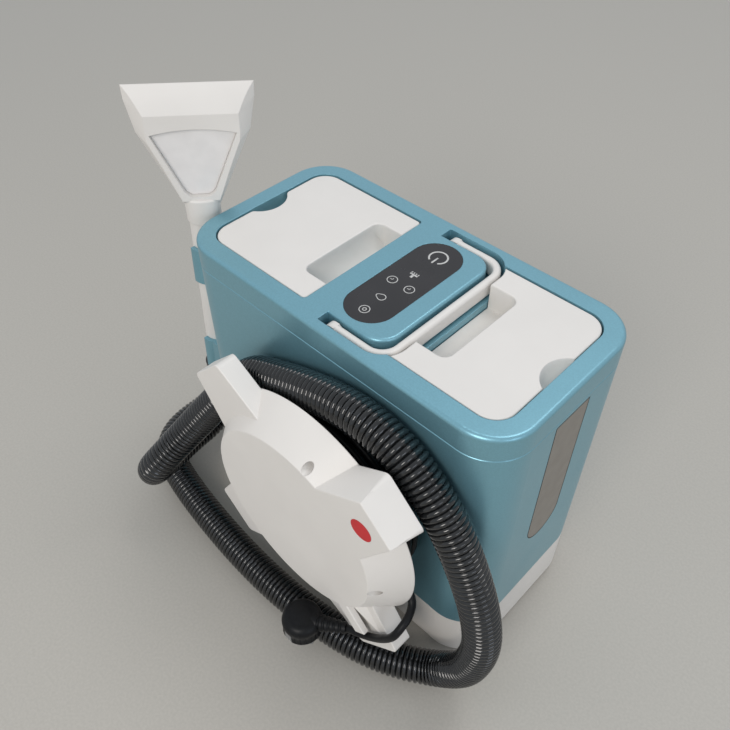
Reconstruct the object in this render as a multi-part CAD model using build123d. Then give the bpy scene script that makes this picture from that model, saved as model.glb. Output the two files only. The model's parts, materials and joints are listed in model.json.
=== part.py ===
from build123d import *
import math
import os

os.makedirs("parts", exist_ok=True)

# Body. X runs along the length, the winder is on the -Y side, Z is up and 0 is the floor.
body_length = 344.0
body_width = 174.0
body_height = 320.0
corner_radius = 37.0
wall = 3.0
plinth_height = 62.0
plinth_floor = 4.0
plinth_edge = 9.0
frame_height = 23.0
frame_edge = 3.5
seam_bevel = 0.6
loose = 0.3

# Top frame, lids and handle, seen from above
rim_x = 17.0
rim_y = 17.0
opening_radius = 19.5
bridge_left = -33.0
tongue_left = -9.0
tongue_right = 48.0
tongue_half = 67.0
tongue_radius = 19.0
tongue_edge = 2.5
skirt_depth = 14.0
skirt_wall = 2.5
panel_x = 9.0
panel_width = 44.0
panel_length = 120.0
panel_depth = 1.6
deck = 6.0
board_thick = 1.6
board_drop = 4.0
board_half = 56.0
board_post_y = 50.0
board_side = 5.0
lid_gap = 1.2
lid_drop = 0.8
pocket_gap = 0.6
lid_height = 30.0
lid_wall = 2.5
grip_width = 28.0
grip_half = 44.5
grip_depth = 25.0
grip_radius = 8.0
grip_lip = 5.0
notch_half = 20.0
notch_depth = 11.5
notch_drop = 16.0
notch_lip = 5.0
lid_edge = 1.2
scoop_rise = 6.0
seal_height = 2.0
slide_gap = 0.2
handle_thick = 7.0
handle_height = 15.0
handle_gap = 2.0
handle_drop = 2.5
handle_radius = 20.0
handle_edge = 3.0
handle_pivot_x = 2.5
handle_room = 2.5
pocket_depth = 19.0
pin_radius = 3.0
pin_play = 0.05

# Tanks and the parts inside them
tank_rise = 8.0
tank_wall = 2.5
tank_radius = 18.0
tank_inner_radius = 6.0
pipe_wall = 2.5
riser_x = -115.0
riser_radius = 13.0
riser_top = 250.0
air_x = -70.0
air_y = 28.0
air_radius = 15.0
air_top = 262.0
air_window_low = 238.0
air_window_high = 258.0
float_radius = 25.0
float_low = 194.0
float_height = 40.0
valve_x = 107.0
valve_y = -20.0
valve_disc_radius = 10.0
valve_lift = 3.0
valve_spring_radius = 6.0
valve_wire_radius = 0.6
valve_turns = 5

# Works between the tanks
chassis_plate = 4.0
chassis_wall = 2.5
post_x = 146.0
post_y = 62.0
post_radius = 7.0
screw_radius = 2.0
screw_head_radius = 4.0
screw_play = 0.03
motor_radius = 38.0
motor_height = 84.0
fan_radius = 41.0
fan_height = 46.0
fan_inlet = 18.0
wheel_radius = 35.0
shaft_radius = 4.0
mount_height = 4.0
rest_half = 6.0
rest_y = 50.0
rest_inset = (26.0, 12.0)
pump_y = -63.0
pipe_radius = 4.0
port_y = -18.0
port_z = 30.0
pad_radius = 12.0
pad_height = 2.0
vent_x = (-20.0, 40.0)
vent_y = 45.0
vent_pitch = 4.0
vent_width = 2.0

# Level window in the right end
window_half = 21.0
window_low = 136.0
window_high = 292.0
window_lap = 4.0

# Cord winder on the front, with depths from the body's side
winder_x = 26.5
winder_z = 167.0
drum_radius = 74.5
drum_length = 41.0
flange_radius = 99.0
flange_thick = 3.0
cap_low = 38.0
cap_high = 66.5
cap_back_radius = 112.0
cap_front_radius = 89.0
cap_wall = 3.0
cap_edge = 1.0
lug_thick = 18.0
lug_tip = 142.0
lug_width = 49.0
lug_flare = 13.0
lug_corner = 5.0
low_lug_tip = 145.0
low_lug_width = 58.0
low_lug_shift = -14.0
cap_screw_circle = 92.5
cap_screw_angles = (75.0, 175.0, 255.0, 355.0)
cap_hole_radius = 4.0
marker_radius = 10.0
marker_reach = 113.0
marker_angle = 43.0
marker_depth = 2.0
prong_angle = -49.0
prong_reach = 120.5
prong_width = 14.0
prong_thick = 5.5
wedge_angle = -41.0
wedge_root = 28.0
wedge_tip = 134.0

# Mains cord: one inner layer, one wound outer layer, the loose tail and the plug
cord_radius = 3.5
cord_layer_gap = 0.3
cord_pitch = 7.6
cord_start_angle = 225.0
cord_end_angle = 15.4
cord_full_turns = 3
cord_first = 4.5
tail_points = [
    (124.5, -119.0, 142.0),
    (135.5, -121.0, 130.0),
    (140.8, -131.5, 126.0),
    (141.5, -141.5, 122.5),
    (139.5, -148.8, 113.0),
    (130.5, -149.5, 97.0),
    (118.0, -149.0, 79.5),
    (105.5, -150.0, 68.0),
    (88.0, -152.5, 59.0),
]
tail_lead = 21.0
plug_x = 51.0
plug_y = -172.5
plug_low = 39.0
plug_height = 24.0
plug_radius = 18.5
plug_dome = 9.0
plug_pin_radius = 2.4
plug_pin_length = 19.0
plug_pin_spacing = 19.0
relief_radius = 6.5

# Suction hose, from the port in the plinth to the foot of the wand
hose_radius = 16.0
hose_valley = 14.2
hose_bore = 12.5
hose_ribs = 196
bore_seam = 50.0
cuff_radius = 18.5
port_flange = 2.0
port_cuff_length = 6.0
wand_cuff_length = 10.0
bend_share = 0.45
hose_points = [
    (-213.8, -18.0, 30.0),
    (-230.8, -27.8, 28.0),
    (-240.6, -44.8, 24.0),
    (-242.5, -66.0, 19.0),
    (-243.5, -89.0, 17.0),
    (-238.0, -109.5, 17.0),
    (-224.5, -127.0, 17.0),
    (-203.0, -138.5, 17.0),
    (-160.0, -147.0, 17.0),
    (-111.0, -153.0, 17.0),
    (-55.0, -157.0, 17.0),
    (0.0, -157.0, 17.0),
    (51.0, -152.0, 17.0),
    (95.0, -143.0, 17.0),
    (131.0, -129.0, 18.0),
    (163.0, -110.0, 22.0),
    (185.0, -106.0, 52.0),
    (193.0, -105.0, 87.0),
    (195.0, -105.0, 122.0),
    (187.0, -105.0, 161.0),
    (175.0, -105.0, 192.0),
    (159.0, -105.0, 224.0),
    (140.0, -105.0, 251.0),
    (115.0, -105.0, 273.0),
    (91.0, -105.0, 284.0),
    (61.0, -105.0, 287.0),
    (30.0, -105.0, 281.0),
    (-4.0, -105.0, 269.0),
    (-39.0, -105.0, 254.0),
    (-67.0, -104.8, 240.0),
    (-104.0, -117.0, 190.0),
    (-136.0, -140.5, 135.7),
    (-151.2, -174.2, 101.6),
    (-160.9, -178.4, 84.8),
    (-171.4, -172.2, 69.1),
    (-179.6, -157.4, 58.7),
    (-189.5, -114.5, 55.0),
    (-192.8, -89.2, 52.5),
    (-193.8, -69.7, 60.5),
]
hose_rise = 42.5

# Wand, along its own axis with 0 at wand_drop below the body's top
wand_gap = 22.0
wand_y = -49.5
wand_drop = 100.0
wand_lean = 3.2
wand_radius = 14.0
wand_bore = 11.0
wand_low = -90.0
wand_high = 86.0
clip_wall = 4.0
clip_height = 37.5
clip_wrap = 2.0
clip_screw_shift = 8.0
clip_levels = (41.0, -69.0)
collar_radius = 15.5
collar_low = 86.0
head_turn = 53.0
head_top = 210.0
head_wall = 2.2
cover_front = 8.0
cover_arch = 4.0
mouth_length = 94.0
mouth_width = 7.0
mouth_back = 4.5
jet_radius = 3.5
trigger_side = 135.0
trigger_in = 25.0
trigger_out = 31.0
trigger_half = 6.0
trigger_low = -44.0
trigger_high = 19.0
trigger_pivot = 13.0
trigger_pin_radius = 1.5

# Sizes that follow from those above
half_l = body_length / 2
half_w = body_width / 2
seam_z = body_height - frame_height
plate_low = plinth_height - chassis_plate
tank_floor_z = plinth_height + tank_rise
lid_top = body_height - lid_drop
lid_low = lid_top - lid_height
tank_top = lid_low - seal_height - slide_gap
column_right = tongue_right + handle_gap + handle_thick + handle_room + 0.5
column_mid = (bridge_left + column_right) / 2
wand_x = -half_l - wand_gap
wand_z = body_height - wand_drop
winder_radius_1 = drum_radius + cord_layer_gap + cord_radius
winder_radius_2 = winder_radius_1 + 2 * cord_radius + 0.2


def box(x0, x1, y0, y1, z0, z1):
    """A plain block between the given limits."""
    return Pos((x0 + x1) / 2, (y0 + y1) / 2, (z0 + z1) / 2) * Box(x1 - x0, y1 - y0, z1 - z0)


def rod(x, y, z0, z1, radius):
    """An upright cylinder."""
    return Pos(x, y, (z0 + z1) / 2) * Cylinder(radius, z1 - z0)


def rod_x(y, z, x0, x1, radius):
    """A cylinder along X."""
    return Pos((x0 + x1) / 2, y, z) * Rot(0, 90, 0) * Cylinder(radius, x1 - x0)


def rod_y(x, z, y0, y1, radius):
    """A cylinder along Y."""
    return Pos(x, (y0 + y1) / 2, z) * Rot(90, 0, 0) * Cylinder(radius, y1 - y0)


def ring(x, y, z0, z1, outer, inner):
    """An upright tube."""
    return rod(x, y, z0, z1, outer) - rod(x, y, z0, z1, inner)


def rounded_block(x0, x1, half, z0, z1, radius):
    """A block about the X axis with upright rounded corners."""
    outline = Pos((x0 + x1) / 2, 0, z0) * RectangleRounded(x1 - x0, 2 * half, radius)
    return extrude(outline, z1 - z0)


def end_block(x0, x1, half, z0, z1, low_radius, high_radius):
    """A block about the X axis with one corner radius at each end."""
    outline = Pos((x0 + x1) / 2, 0, z0) * Rectangle(x1 - x0, 2 * half)
    outline = fillet(outline.vertices().sort_by(Axis.X)[:2], low_radius)
    outline = fillet(outline.vertices().sort_by(Axis.X)[-2:], high_radius)
    return extrude(outline, z1 - z0)


def bend_radii(points):
    """The radius of each bend: a share of the shorter run beside it."""
    radii = []
    for before, at, after in zip(points, points[1:], points[2:]):
        run_in = Vector(*at) - Vector(*before)
        run_out = Vector(*after) - Vector(*at)
        turn = math.radians(run_in.get_angle(run_out))
        radii.append(bend_share * min(run_in.length, run_out.length) / math.tan(turn / 2))
    return radii


def tube(path, outer, inner=0.0, seam=0.0):
    """A round bar or tube along a path; seam turns the line where its surface closes."""
    start = Plane(origin=path @ 0, z_dir=path % 0)
    section = start * (Rot(0, 0, seam) * Circle(outer))
    if inner > 0:
        section = section - start * (Rot(0, 0, seam) * Circle(inner))
    return sweep(section, path=path)


def save(name, shape):
    """Write one piece to its own file."""
    export_step(shape, f"parts/{name}.step")


# Base plinth, its pads and the opening for the hose port
inner_l = half_l - wall
inner_w = half_w - wall
inner_radius = corner_radius - wall
post_points = [(x, y) for x in (-post_x, post_x) for y in (-post_y, post_y)]
pad_points = [(0.8 * x, 0.95 * y) for x, y in post_points]
port_radius = cuff_radius + 0.5
plinth = rounded_block(-half_l, half_l, half_w, 0, plinth_height, corner_radius)
plinth = fillet(plinth.faces().sort_by(Axis.Z)[0].edges(), plinth_edge)
plinth_room = rounded_block(-inner_l, inner_l, inner_w, plinth_floor, plinth_height, inner_radius)
plinth -= fillet(plinth_room.faces().sort_by(Axis.Z)[0].edges(), plinth_edge - wall)
for x, y in post_points:
    plinth += rod(x, y, plinth_floor, plate_low, post_radius)
    plinth -= rod(x, y, 0, plate_low, screw_radius + 0.3)
    plinth -= rod(x, y, 0, plinth_floor + 4, screw_head_radius + 0.3)
pads = None
for x, y in pad_points:
    plinth -= rod(x, y, 0, pad_height, pad_radius + 0.2)
    pad = rod(x, y, 0, pad_height, pad_radius)
    pads = pad if pads is None else pads + pad
plinth -= rod_x(port_y, port_z, -half_l - 1, -inner_l + 1, port_radius + 0.03)
for step in range(-3, 4):
    vent = vent_y + vent_pitch * step
    plinth -= box(*vent_x, vent - vent_width / 2, vent + vent_width / 2, 0, plinth_floor)
save("base_plinth", plinth)
save("rubber_pads", pads)

# Body shell with the opening of the level window
shell = rounded_block(-half_l, half_l, half_w, plinth_height, seam_z, corner_radius)
shell = chamfer(shell.faces().sort_by(Axis.Z)[-1].edges(), seam_bevel)
shell -= rounded_block(-inner_l, inner_l, inner_w, plinth_height, seam_z, inner_radius)


def window_outline(grow):
    """The window's face: square at the top, half round at the bottom."""
    half = window_half + grow
    low = window_low + window_half
    face = Plane.YZ * (Pos(0, low) * Circle(half))
    top = window_high + grow - low
    return face + Plane.YZ * (Pos(0, low + top / 2) * Rectangle(2 * half, top))


shell -= Pos(inner_l - 1, 0, 0) * extrude(window_outline(0), wall + 2)
window = Pos(inner_l, 0, 0) * extrude(window_outline(-loose), wall)
window += Pos(inner_l - 2, 0, 0) * extrude(window_outline(window_lap), 2)
wand_place = Pos(wand_x, wand_y, wand_z) * Rot(-wand_lean, 0, 0)
clip_screw_points = []
for level in clip_levels:
    base_point = (wand_place * Pos(0, 0, level)).position
    for side in (-1, 1):
        clip_screw_points.append((base_point.Y + clip_screw_shift, base_point.Z + side * clip_height / 4))
for y, z in clip_screw_points:
    shell -= rod_x(y, z, -half_l - 1, -inner_l + 1, screw_radius + 0.3)
save("body_shell", shell)
save("level_window", window)

# Top frame: the rim, the bridge, the tongue and the pocket of the carry handle
open_x = half_l - rim_x
open_y = half_w - rim_y
pocket_floor = body_height - pocket_depth
arm_inner = tongue_half + handle_gap
arm_outer = arm_inner + handle_thick
bar_inner = tongue_right + handle_gap
bar_outer = bar_inner + handle_thick
pocket_half = arm_outer + handle_room
pocket_right = bar_outer + handle_room
pocket_radius = handle_radius + handle_room


def pocket(z0, z1, grow=0.0):
    """The room that the folded carry handle lies in."""
    right = pocket_right + grow
    return end_block(tongue_left, right, pocket_half + grow, z0, z1, 1.0, pocket_radius + grow)


frame = rounded_block(-half_l, half_l, half_w, seam_z, body_height, corner_radius)
frame = fillet(frame.faces().sort_by(Axis.Z)[-1].edges(), frame_edge)
frame = chamfer(frame.faces().sort_by(Axis.Z)[0].edges(), seam_bevel)
frame -= end_block(-open_x, bridge_left, open_y, seam_z, body_height, opening_radius, 4.0)
right_opening = end_block(tongue_right, open_x, open_y, seam_z, body_height, 1.0, opening_radius)
frame -= right_opening - pocket(seam_z, body_height)
frame -= pocket(pocket_floor, body_height)
tongue = end_block(tongue_left - 3, tongue_right, tongue_half, seam_z, body_height, 1.0, tongue_radius)
tongue_rim = tongue.faces().sort_by(Axis.Z)[-1].edges().filter_by(lambda e: e.center().X > tongue_left)
tongue = fillet(tongue_rim, tongue_edge)
frame += tongue
board_room = tongue_half - board_side
board_room_x = (bridge_left + wall, tongue_right - board_side)
board_ceiling = body_height - deck
frame -= end_block(*board_room_x, board_room, seam_z, board_ceiling, 1.0, tongue_radius - board_side)
board_z = body_height - deck - board_drop
for x in (bridge_left + 12, tongue_right - 14):
    for y in (-board_post_y, board_post_y):
        frame += rod(x, y, board_z, body_height - deck, 3)
panel_face = Pos(panel_x, 0, body_height - panel_depth) * Rot(0, 0, 90)
frame -= panel_face * extrude(SlotOverall(panel_length, panel_width), panel_depth)
panel = panel_face * extrude(SlotOverall(panel_length - 0.5, panel_width - 0.5), panel_depth - 0.2)
skirt_low = seam_z - skirt_depth
frame += box(bridge_left, bridge_left + skirt_wall, -open_y + 6, open_y - 6, skirt_low, seam_z)
frame += box(pocket_right - skirt_wall, pocket_right, -open_y + 16, open_y - 16, skirt_low, seam_z)
pivot_z = body_height - handle_drop - handle_height / 2
pin_end = pocket_half + 5
for side in (-1, 1):
    y0, y1 = sorted((side * (pocket_half - 1), side * pin_end))
    frame -= rod_y(handle_pivot_x, pivot_z, y0, y1, pin_radius + pin_play)
save("top_frame", frame)
save("touch_panel", panel)

board_low = board_z - board_thick
board = box(bridge_left + 6, tongue_right - 12, -board_half, board_half, board_low, board_z)
board_parts = ((-5, -30, 18, 14, 6), (10, 5, 14, 14, 3), (20, 35, 20, 16, 8), (-12, 30, 10, 10, 9))
for x, y, wide, deep, tall in board_parts:
    board += box(x - wide / 2, x + wide / 2, y - deep / 2, y + deep / 2, board_low - tall, board_low)
save("control_board", board)

# Carry handle and its pins
handle_low = body_height - handle_drop - handle_height
handle_high = handle_low + handle_height
inner_bend = handle_radius - handle_thick
handle = end_block(handle_pivot_x, bar_outer, arm_outer, handle_low, handle_high, 0.5, handle_radius)
handle -= end_block(handle_pivot_x - 5, bar_inner, arm_inner, handle_low, handle_high, 0.5, inner_bend)
long_edges = handle.edges().filter_by(lambda e: abs(e.tangent_at(0.5).Z) < 0.1)
long_edges = long_edges.filter_by(lambda e: e.center().X > handle_pivot_x + 1)
handle = fillet(long_edges, handle_edge)
arm_root = handle_pivot_x + 3
handle -= box(handle_pivot_x - 1, arm_root, -arm_outer - 1, arm_outer + 1, handle_low - 1, body_height)
pins = None
for side in (-1, 1):
    y0, y1 = sorted((side * arm_inner, side * arm_outer))
    hub = rod_y(handle_pivot_x, pivot_z, y0, y1, handle_height / 2)
    hub += box(handle_pivot_x, arm_root + 0.2, y0, y1, handle_low, handle_high)
    handle += hub
    y0, y1 = sorted((side * (arm_inner + 2), side * (pin_end - loose)))
    handle -= rod_y(handle_pivot_x, pivot_z, y0, y1, pin_radius + screw_play)
    pin = rod_y(handle_pivot_x, pivot_z, y0, y1, pin_radius)
    pins = pin if pins is None else pins + pin
save("carry_handle", handle)
save("handle_pins", pins)


# Lids: hollow covers with a grip recess beside the bridge
def hollow_lid(cover, room, walls):
    """A cover open at the bottom, with a wall kept round each of its recesses."""
    for grown in walls:
        room -= grown
    return cover - room


def soft_top(block):
    """The block with its upper rim rounded."""
    return fillet(block.faces().sort_by(Axis.Z)[-1].edges(), lid_edge)


def scoop_room(back, front, z0):
    """The room of a grip recess: upright under its lip, then a quarter round down to a flat floor."""
    way = 1 if front > back else -1
    bend = lid_top - grip_lip - z0
    turn = math.sqrt(0.5) * bend
    start = (back, z0 + bend)
    middle = (back + way * (bend - turn), z0 + bend - turn)
    end = (back + way * bend, z0)
    corners = [end, (front, z0), (front, lid_top + 1), (back, lid_top + 1), start]
    face = make_face([ThreePointArc(start, middle, end), *Polyline(*corners).edges()])
    return Pos(0, grip_half + 1, 0) * extrude(Plane.XZ * face, 2 * grip_half + 2)


grip_low = lid_top - grip_depth
waste_left = -open_x + lid_gap
waste_right = bridge_left - lid_gap
lid_half = open_y - lid_gap
lid_radius = opening_radius - lid_gap
lid_ceiling = lid_top - lid_wall
waste_block = end_block(waste_left, waste_right, lid_half, lid_low, lid_top, lid_radius, 3.0)
room_half = lid_half - lid_wall
room_radius = lid_radius - lid_wall
waste_room_x = (waste_left + lid_wall, waste_right - lid_wall)
waste_room = end_block(*waste_room_x, room_half, lid_low, lid_ceiling, room_radius, 1.0)
grip_x = waste_right - grip_width
waste_grip = end_block(grip_x, waste_right + 1, grip_half, grip_low, lid_top, grip_radius, 0.5)
waste_grip &= scoop_room(grip_x, waste_right + 2, grip_low)
grip_wall_half = grip_half + lid_wall
grip_wall_low = grip_low - lid_wall
grip_wall_radius = grip_radius + lid_wall
waste_wall_x = (grip_x - lid_wall, waste_right + 1)
waste_grip_wall = end_block(*waste_wall_x, grip_wall_half, grip_wall_low, lid_top, grip_wall_radius, 0.5)
notch_radius = (notch_half**2 + notch_depth**2) / (2 * notch_depth)
notch_x = waste_left + notch_depth - notch_radius
waste_block -= rod(notch_x, 0, lid_top - notch_drop, lid_top + 1, notch_radius)
lip_edges = waste_block.edges().filter_by(Axis.Z).filter_by(lambda e: e.center().X < waste_left + 0.1)
waste_block = fillet(lip_edges, notch_lip)
waste_block = soft_top(waste_block - waste_grip)
notch_wall_low = lid_top - notch_drop - lid_wall
waste_notch_wall = rod(notch_x, 0, notch_wall_low, lid_top + 1, notch_radius + lid_wall)
waste_notch_wall += box(waste_left, waste_left + notch_lip, -lid_half, lid_half, notch_wall_low, lid_top)
waste_lid = hollow_lid(waste_block, waste_room, [waste_grip_wall, waste_notch_wall])
save("waste_lid", waste_lid)

clean_left = tongue_right
clean_right = open_x - lid_gap
clean_block = end_block(clean_left, clean_right, lid_half, lid_low, lid_top, 1.0, lid_radius)
clean_block -= pocket(lid_low, lid_top, pocket_gap)
clean_room_right = clean_right - lid_wall
clean_room = end_block(clean_left, clean_room_right, room_half, lid_low, lid_ceiling, 1.0, room_radius)
clean_room -= pocket(lid_low, lid_top, pocket_gap + lid_wall)
clean_grip_x = pocket_right + pocket_gap + grip_width
clean_grip = end_block(clean_left, clean_grip_x, grip_half, grip_low, lid_top, 0.5, grip_radius)
clean_grip &= scoop_room(clean_grip_x, clean_left - 1, grip_low)
clean_wall_x = (clean_left, clean_grip_x + lid_wall)
clean_grip_wall = end_block(*clean_wall_x, grip_wall_half, grip_wall_low, lid_top, 0.5, grip_wall_radius)
scoop_x = clean_right - notch_depth + notch_radius
scoop_radius = math.hypot(notch_radius, scoop_rise)
scoop = Pos(scoop_x, 0, lid_top + scoop_rise) * Sphere(scoop_radius)
scoop_wall = Pos(scoop_x, 0, lid_top + scoop_rise) * Sphere(scoop_radius + lid_wall)
clean_block = soft_top(clean_block - clean_grip) - scoop
clean_lid = hollow_lid(clean_block, clean_room, [clean_grip_wall, scoop_wall])
save("clean_lid", clean_lid)

# Tanks: open boxes under the lids, each with a rubber seal on its rim
waste_x0 = waste_left + loose
waste_x1 = waste_right - loose
clean_x0 = pocket_right + lid_gap
clean_x1 = clean_right - loose
tank_half = lid_half - loose


def tank(x0, x1, low_radius, high_radius):
    """An open tank."""
    outer = end_block(x0, x1, tank_half, tank_floor_z, tank_top, low_radius, high_radius)
    low = low_radius - tank_wall
    high = high_radius - tank_wall
    inner = end_block(
        x0 + tank_wall, x1 - tank_wall, tank_half - tank_wall, tank_floor_z + tank_wall, tank_top, low, high
    )
    return outer - inner


def rim_seal(x0, x1, low_radius, high_radius):
    """A flat rubber ring under a lid's edge."""
    z0 = tank_top + slide_gap
    outer = end_block(x0, x1, tank_half, z0, lid_low, low_radius, high_radius)
    low = low_radius - tank_wall
    high = high_radius - tank_wall
    return outer - end_block(x0 + tank_wall, x1 - tank_wall, tank_half - tank_wall, z0, lid_low, low, high)


tank_floor_top = tank_floor_z + tank_wall
waste_tank = tank(waste_x0, waste_x1, tank_radius, tank_inner_radius)
waste_tank -= rod(riser_x, port_y, tank_floor_z - 1, tank_floor_top + 1, riser_radius + screw_play)
waste_tank -= rod(air_x, air_y, tank_floor_z - 1, tank_floor_top + 1, air_radius + screw_play)
riser = ring(riser_x, port_y, tank_floor_z, riser_top, riser_radius, riser_radius - pipe_wall)
air_pipe = ring(air_x, air_y, tank_floor_z, air_top, air_radius, air_radius - pipe_wall)
for turn in (0, 90):
    slot = Pos(air_x, air_y, (air_window_low + air_window_high) / 2) * Rot(0, 0, turn + 45)
    air_pipe -= slot * Box(3 * air_radius, 12, air_window_high - air_window_low)
air_pipe += rod(air_x, air_y, air_top, air_top + 3, air_radius + 6)
air_pipe += ring(air_x, air_y, float_low - 4, float_low - loose, air_radius + 4, air_radius - pipe_wall)
float_sleeve = ring(air_x, air_y, float_low, float_low + float_height, float_radius, air_radius + 0.5)
float_rims = float_sleeve.edges().filter_by(lambda e: e.length > 2 * math.pi * (float_radius - 1))
float_sleeve = fillet(float_rims, 3)
save("waste_tank", waste_tank)
save("riser_pipe", riser)
save("air_pipe", air_pipe)
save("float_sleeve", float_sleeve)
save("waste_lid_seal", rim_seal(waste_x0, waste_x1, tank_radius, tank_inner_radius))

valve_hole = 6.0
clean_tank = tank(clean_x0, clean_x1, tank_inner_radius, tank_radius)
clean_tank -= rod(valve_x, valve_y, tank_floor_z - 1, tank_floor_top + 1, valve_hole)
save("clean_tank", clean_tank)
save("clean_lid_seal", rim_seal(clean_x0, clean_x1, tank_inner_radius, tank_radius))

# Outlet valve of the clean tank, held open by the pin of the chassis
seal_thick = 1.2
valve_seat = tank_floor_top + valve_lift
disc_low = valve_seat + seal_thick
disc_high = disc_low + 3.0
pin_top = tank_floor_z - 1.0
cage_roof = disc_high + 18.0
plunger = rod(valve_x, valve_y, disc_low, disc_high, valve_disc_radius)
plunger += rod(valve_x, valve_y, pin_top + loose, disc_low, 2.5)
plunger += rod(valve_x, valve_y, disc_high, disc_high + 8, 3.5)
valve_seal = ring(valve_x, valve_y, valve_seat, disc_low, valve_disc_radius - 0.5, 2.6)
cage_radius = valve_disc_radius + 5
cage = ring(valve_x, valve_y, tank_floor_top, tank_floor_top + 2, cage_radius, cage_radius - 3)
for turn in (0, 120, 240):
    leg_x = valve_x + (cage_radius - 1.6) * math.cos(math.radians(turn))
    leg_y = valve_y + (cage_radius - 1.6) * math.sin(math.radians(turn))
    cage += rod(leg_x, leg_y, tank_floor_top, cage_roof + 2.5, 1.5)
cage += rod(valve_x, valve_y, cage_roof, cage_roof + 2.5, cage_radius)
save("valve_plunger", plunger)
save("valve_seal", valve_seal)
save("valve_cage", cage)


# Windings: tubes on pairs of arcs that follow a screw line
def arc_pair(p0, t0, p1, t1):
    """Two arcs that leave p0 along t0 and reach p1 along t1."""
    span = p1 - p0
    both = t0 + t1
    a = 2 * (1 - t0.dot(t1))
    b = 2 * span.dot(both)
    c = -span.dot(span)
    reach = (-b + math.sqrt(b * b - 4 * a * c)) / (2 * a)
    q0 = p0 + t0 * reach
    q1 = p1 - t1 * reach
    joint = (q0 + q1) * 0.5
    edges = []
    for start, corner, end in ((p0, q0, joint), (joint, q1, p1)):
        middle = (start + end) * 0.5
        half_chord = (end - start).length / 2
        cos_half = half_chord / reach
        sin_half = math.sqrt(1 - cos_half * cos_half)
        sag = half_chord * (1 - cos_half) / sin_half
        edges.append(ThreePointArc(start, middle + (corner - middle).normalized() * sag, end))
    return edges


def winding(point, total, count):
    """The arcs of a screw line: point(angle) gives its place and direction."""
    edges = []
    for index in range(count):
        p0, t0 = point(total * index / count)
        p1, t1 = point(total * (index + 1) / count)
        edges += arc_pair(p0, t0, p1, t1)
    return edges


spring_low = disc_high + valve_wire_radius
spring_rise = (cage_roof - disc_high - 2 * valve_wire_radius) / valve_turns


def spring_point(angle):
    """A point of the valve spring's wire and its direction."""
    turn = math.radians(angle)
    rise = spring_rise / (2 * math.pi)
    x = valve_x + valve_spring_radius * math.cos(turn)
    y = valve_y + valve_spring_radius * math.sin(turn)
    place = Vector(x, y, spring_low + rise * turn)
    way = Vector(-valve_spring_radius * math.sin(turn), valve_spring_radius * math.cos(turn), rise)
    return place, way.normalized()


spring_path = Wire(winding(spring_point, 360.0 * valve_turns, 4 * valve_turns))
save("valve_spring", tube(spring_path, valve_wire_radius))

# Chassis between plinth and tanks, with the walls of the middle column
chassis_l = inner_l - loose
chassis_w = inner_w - loose
chassis = rounded_block(-chassis_l, chassis_l, chassis_w, plate_low, plinth_height, inner_radius - loose)
chassis += box(bridge_left, bridge_left + chassis_wall, -chassis_w, chassis_w, plinth_height, skirt_low)
chassis += box(column_right - chassis_wall, column_right, -chassis_w, chassis_w, plinth_height, skirt_low)
stub_top = plinth_height + 4
for x, y, radius in ((riser_x, port_y, riser_radius), (air_x, air_y, air_radius)):
    chassis += rod(x, y, plinth_height, stub_top, radius)
    chassis -= rod(x, y, plate_low, stub_top, radius - pipe_wall)
rest_top = tank_floor_z - loose
for x0, x1 in ((waste_x0, waste_x1), (clean_x0, clean_x1)):
    for x in (x0 + rest_inset[0], x1 - rest_inset[1]):
        for y in (-rest_y, rest_y):
            rest = Pos(x, y, (plinth_height + rest_top) / 2)
            chassis += rest * Box(2 * rest_half, 2 * rest_half, rest_top - plinth_height)
chassis -= rod(column_mid, 0, plate_low, plinth_height, fan_inlet)
chassis += ring(valve_x, valve_y, plinth_height, tank_floor_z - 2, 16, 13)
chassis += rod(valve_x, valve_y, plinth_height, pin_top, 2)
chassis -= rod(valve_x + 8, valve_y, plate_low, plinth_height, pipe_radius - 1)
screws = None
for x, y in post_points:
    chassis -= rod(x, y, plate_low, plinth_height, screw_radius + screw_play)
    screw = rod(x, y, plinth_floor + 1, plinth_floor + 4, screw_head_radius)
    screw += rod(x, y, plinth_floor + 4, plinth_height, screw_radius)
    screws = screw if screws is None else screws + screw
save("chassis", chassis)
save("chassis_screws", screws)
port_seals = ring(riser_x, port_y, stub_top, rest_top, riser_radius, riser_radius - pipe_wall)
port_seals += ring(air_x, air_y, stub_top, rest_top, air_radius, air_radius - pipe_wall)
save("tank_port_seals", port_seals)

# Motor and fan
fan_top = plinth_height + fan_height
motor_low = fan_top + mount_height
housing = rod(column_mid, 0, plinth_height, fan_top, fan_radius)
housing -= rod(column_mid, 0, plinth_height + 2.5, fan_top - 2.5, fan_radius - 2.5)
housing -= rod(column_mid, 0, plinth_height, plinth_height + 2.5, fan_inlet)
housing -= rod(column_mid, 0, fan_top - 2.5, fan_top, 16)
for turn in range(0, 360, 45):
    way = Pos(column_mid, 0, fan_top - 14) * Rot(0, 0, turn + 22.5)
    housing -= way * Pos(fan_radius - 2, 0, 0) * Box(10, 8, 10)
wheel_low = plinth_height + 10
wheel = rod(column_mid, 0, wheel_low + 16, wheel_low + 18, wheel_radius)
wheel += rod(column_mid, 0, wheel_low, wheel_low + 16, 8)
for turn in range(0, 360, 40):
    way = Pos(column_mid, 0, wheel_low + 8) * Rot(0, 0, turn)
    wheel += way * Pos((wheel_radius + 7) / 2, 0, 0) * Rot(0, 0, 20) * Box(wheel_radius - 9, 1.8, 16)
shaft_top = motor_low + motor_height - 8
wheel -= rod(column_mid, 0, wheel_low, wheel_low + 18, shaft_radius + screw_play)
shaft = rod(column_mid, 0, wheel_low, shaft_top, shaft_radius)
motor = rod(column_mid, 0, motor_low, motor_low + motor_height, motor_radius)
motor = fillet(motor.faces().sort_by(Axis.Z)[-1].edges(), 8)
motor -= rod(column_mid, 0, motor_low, shaft_top + loose, shaft_radius + pin_play)
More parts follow.
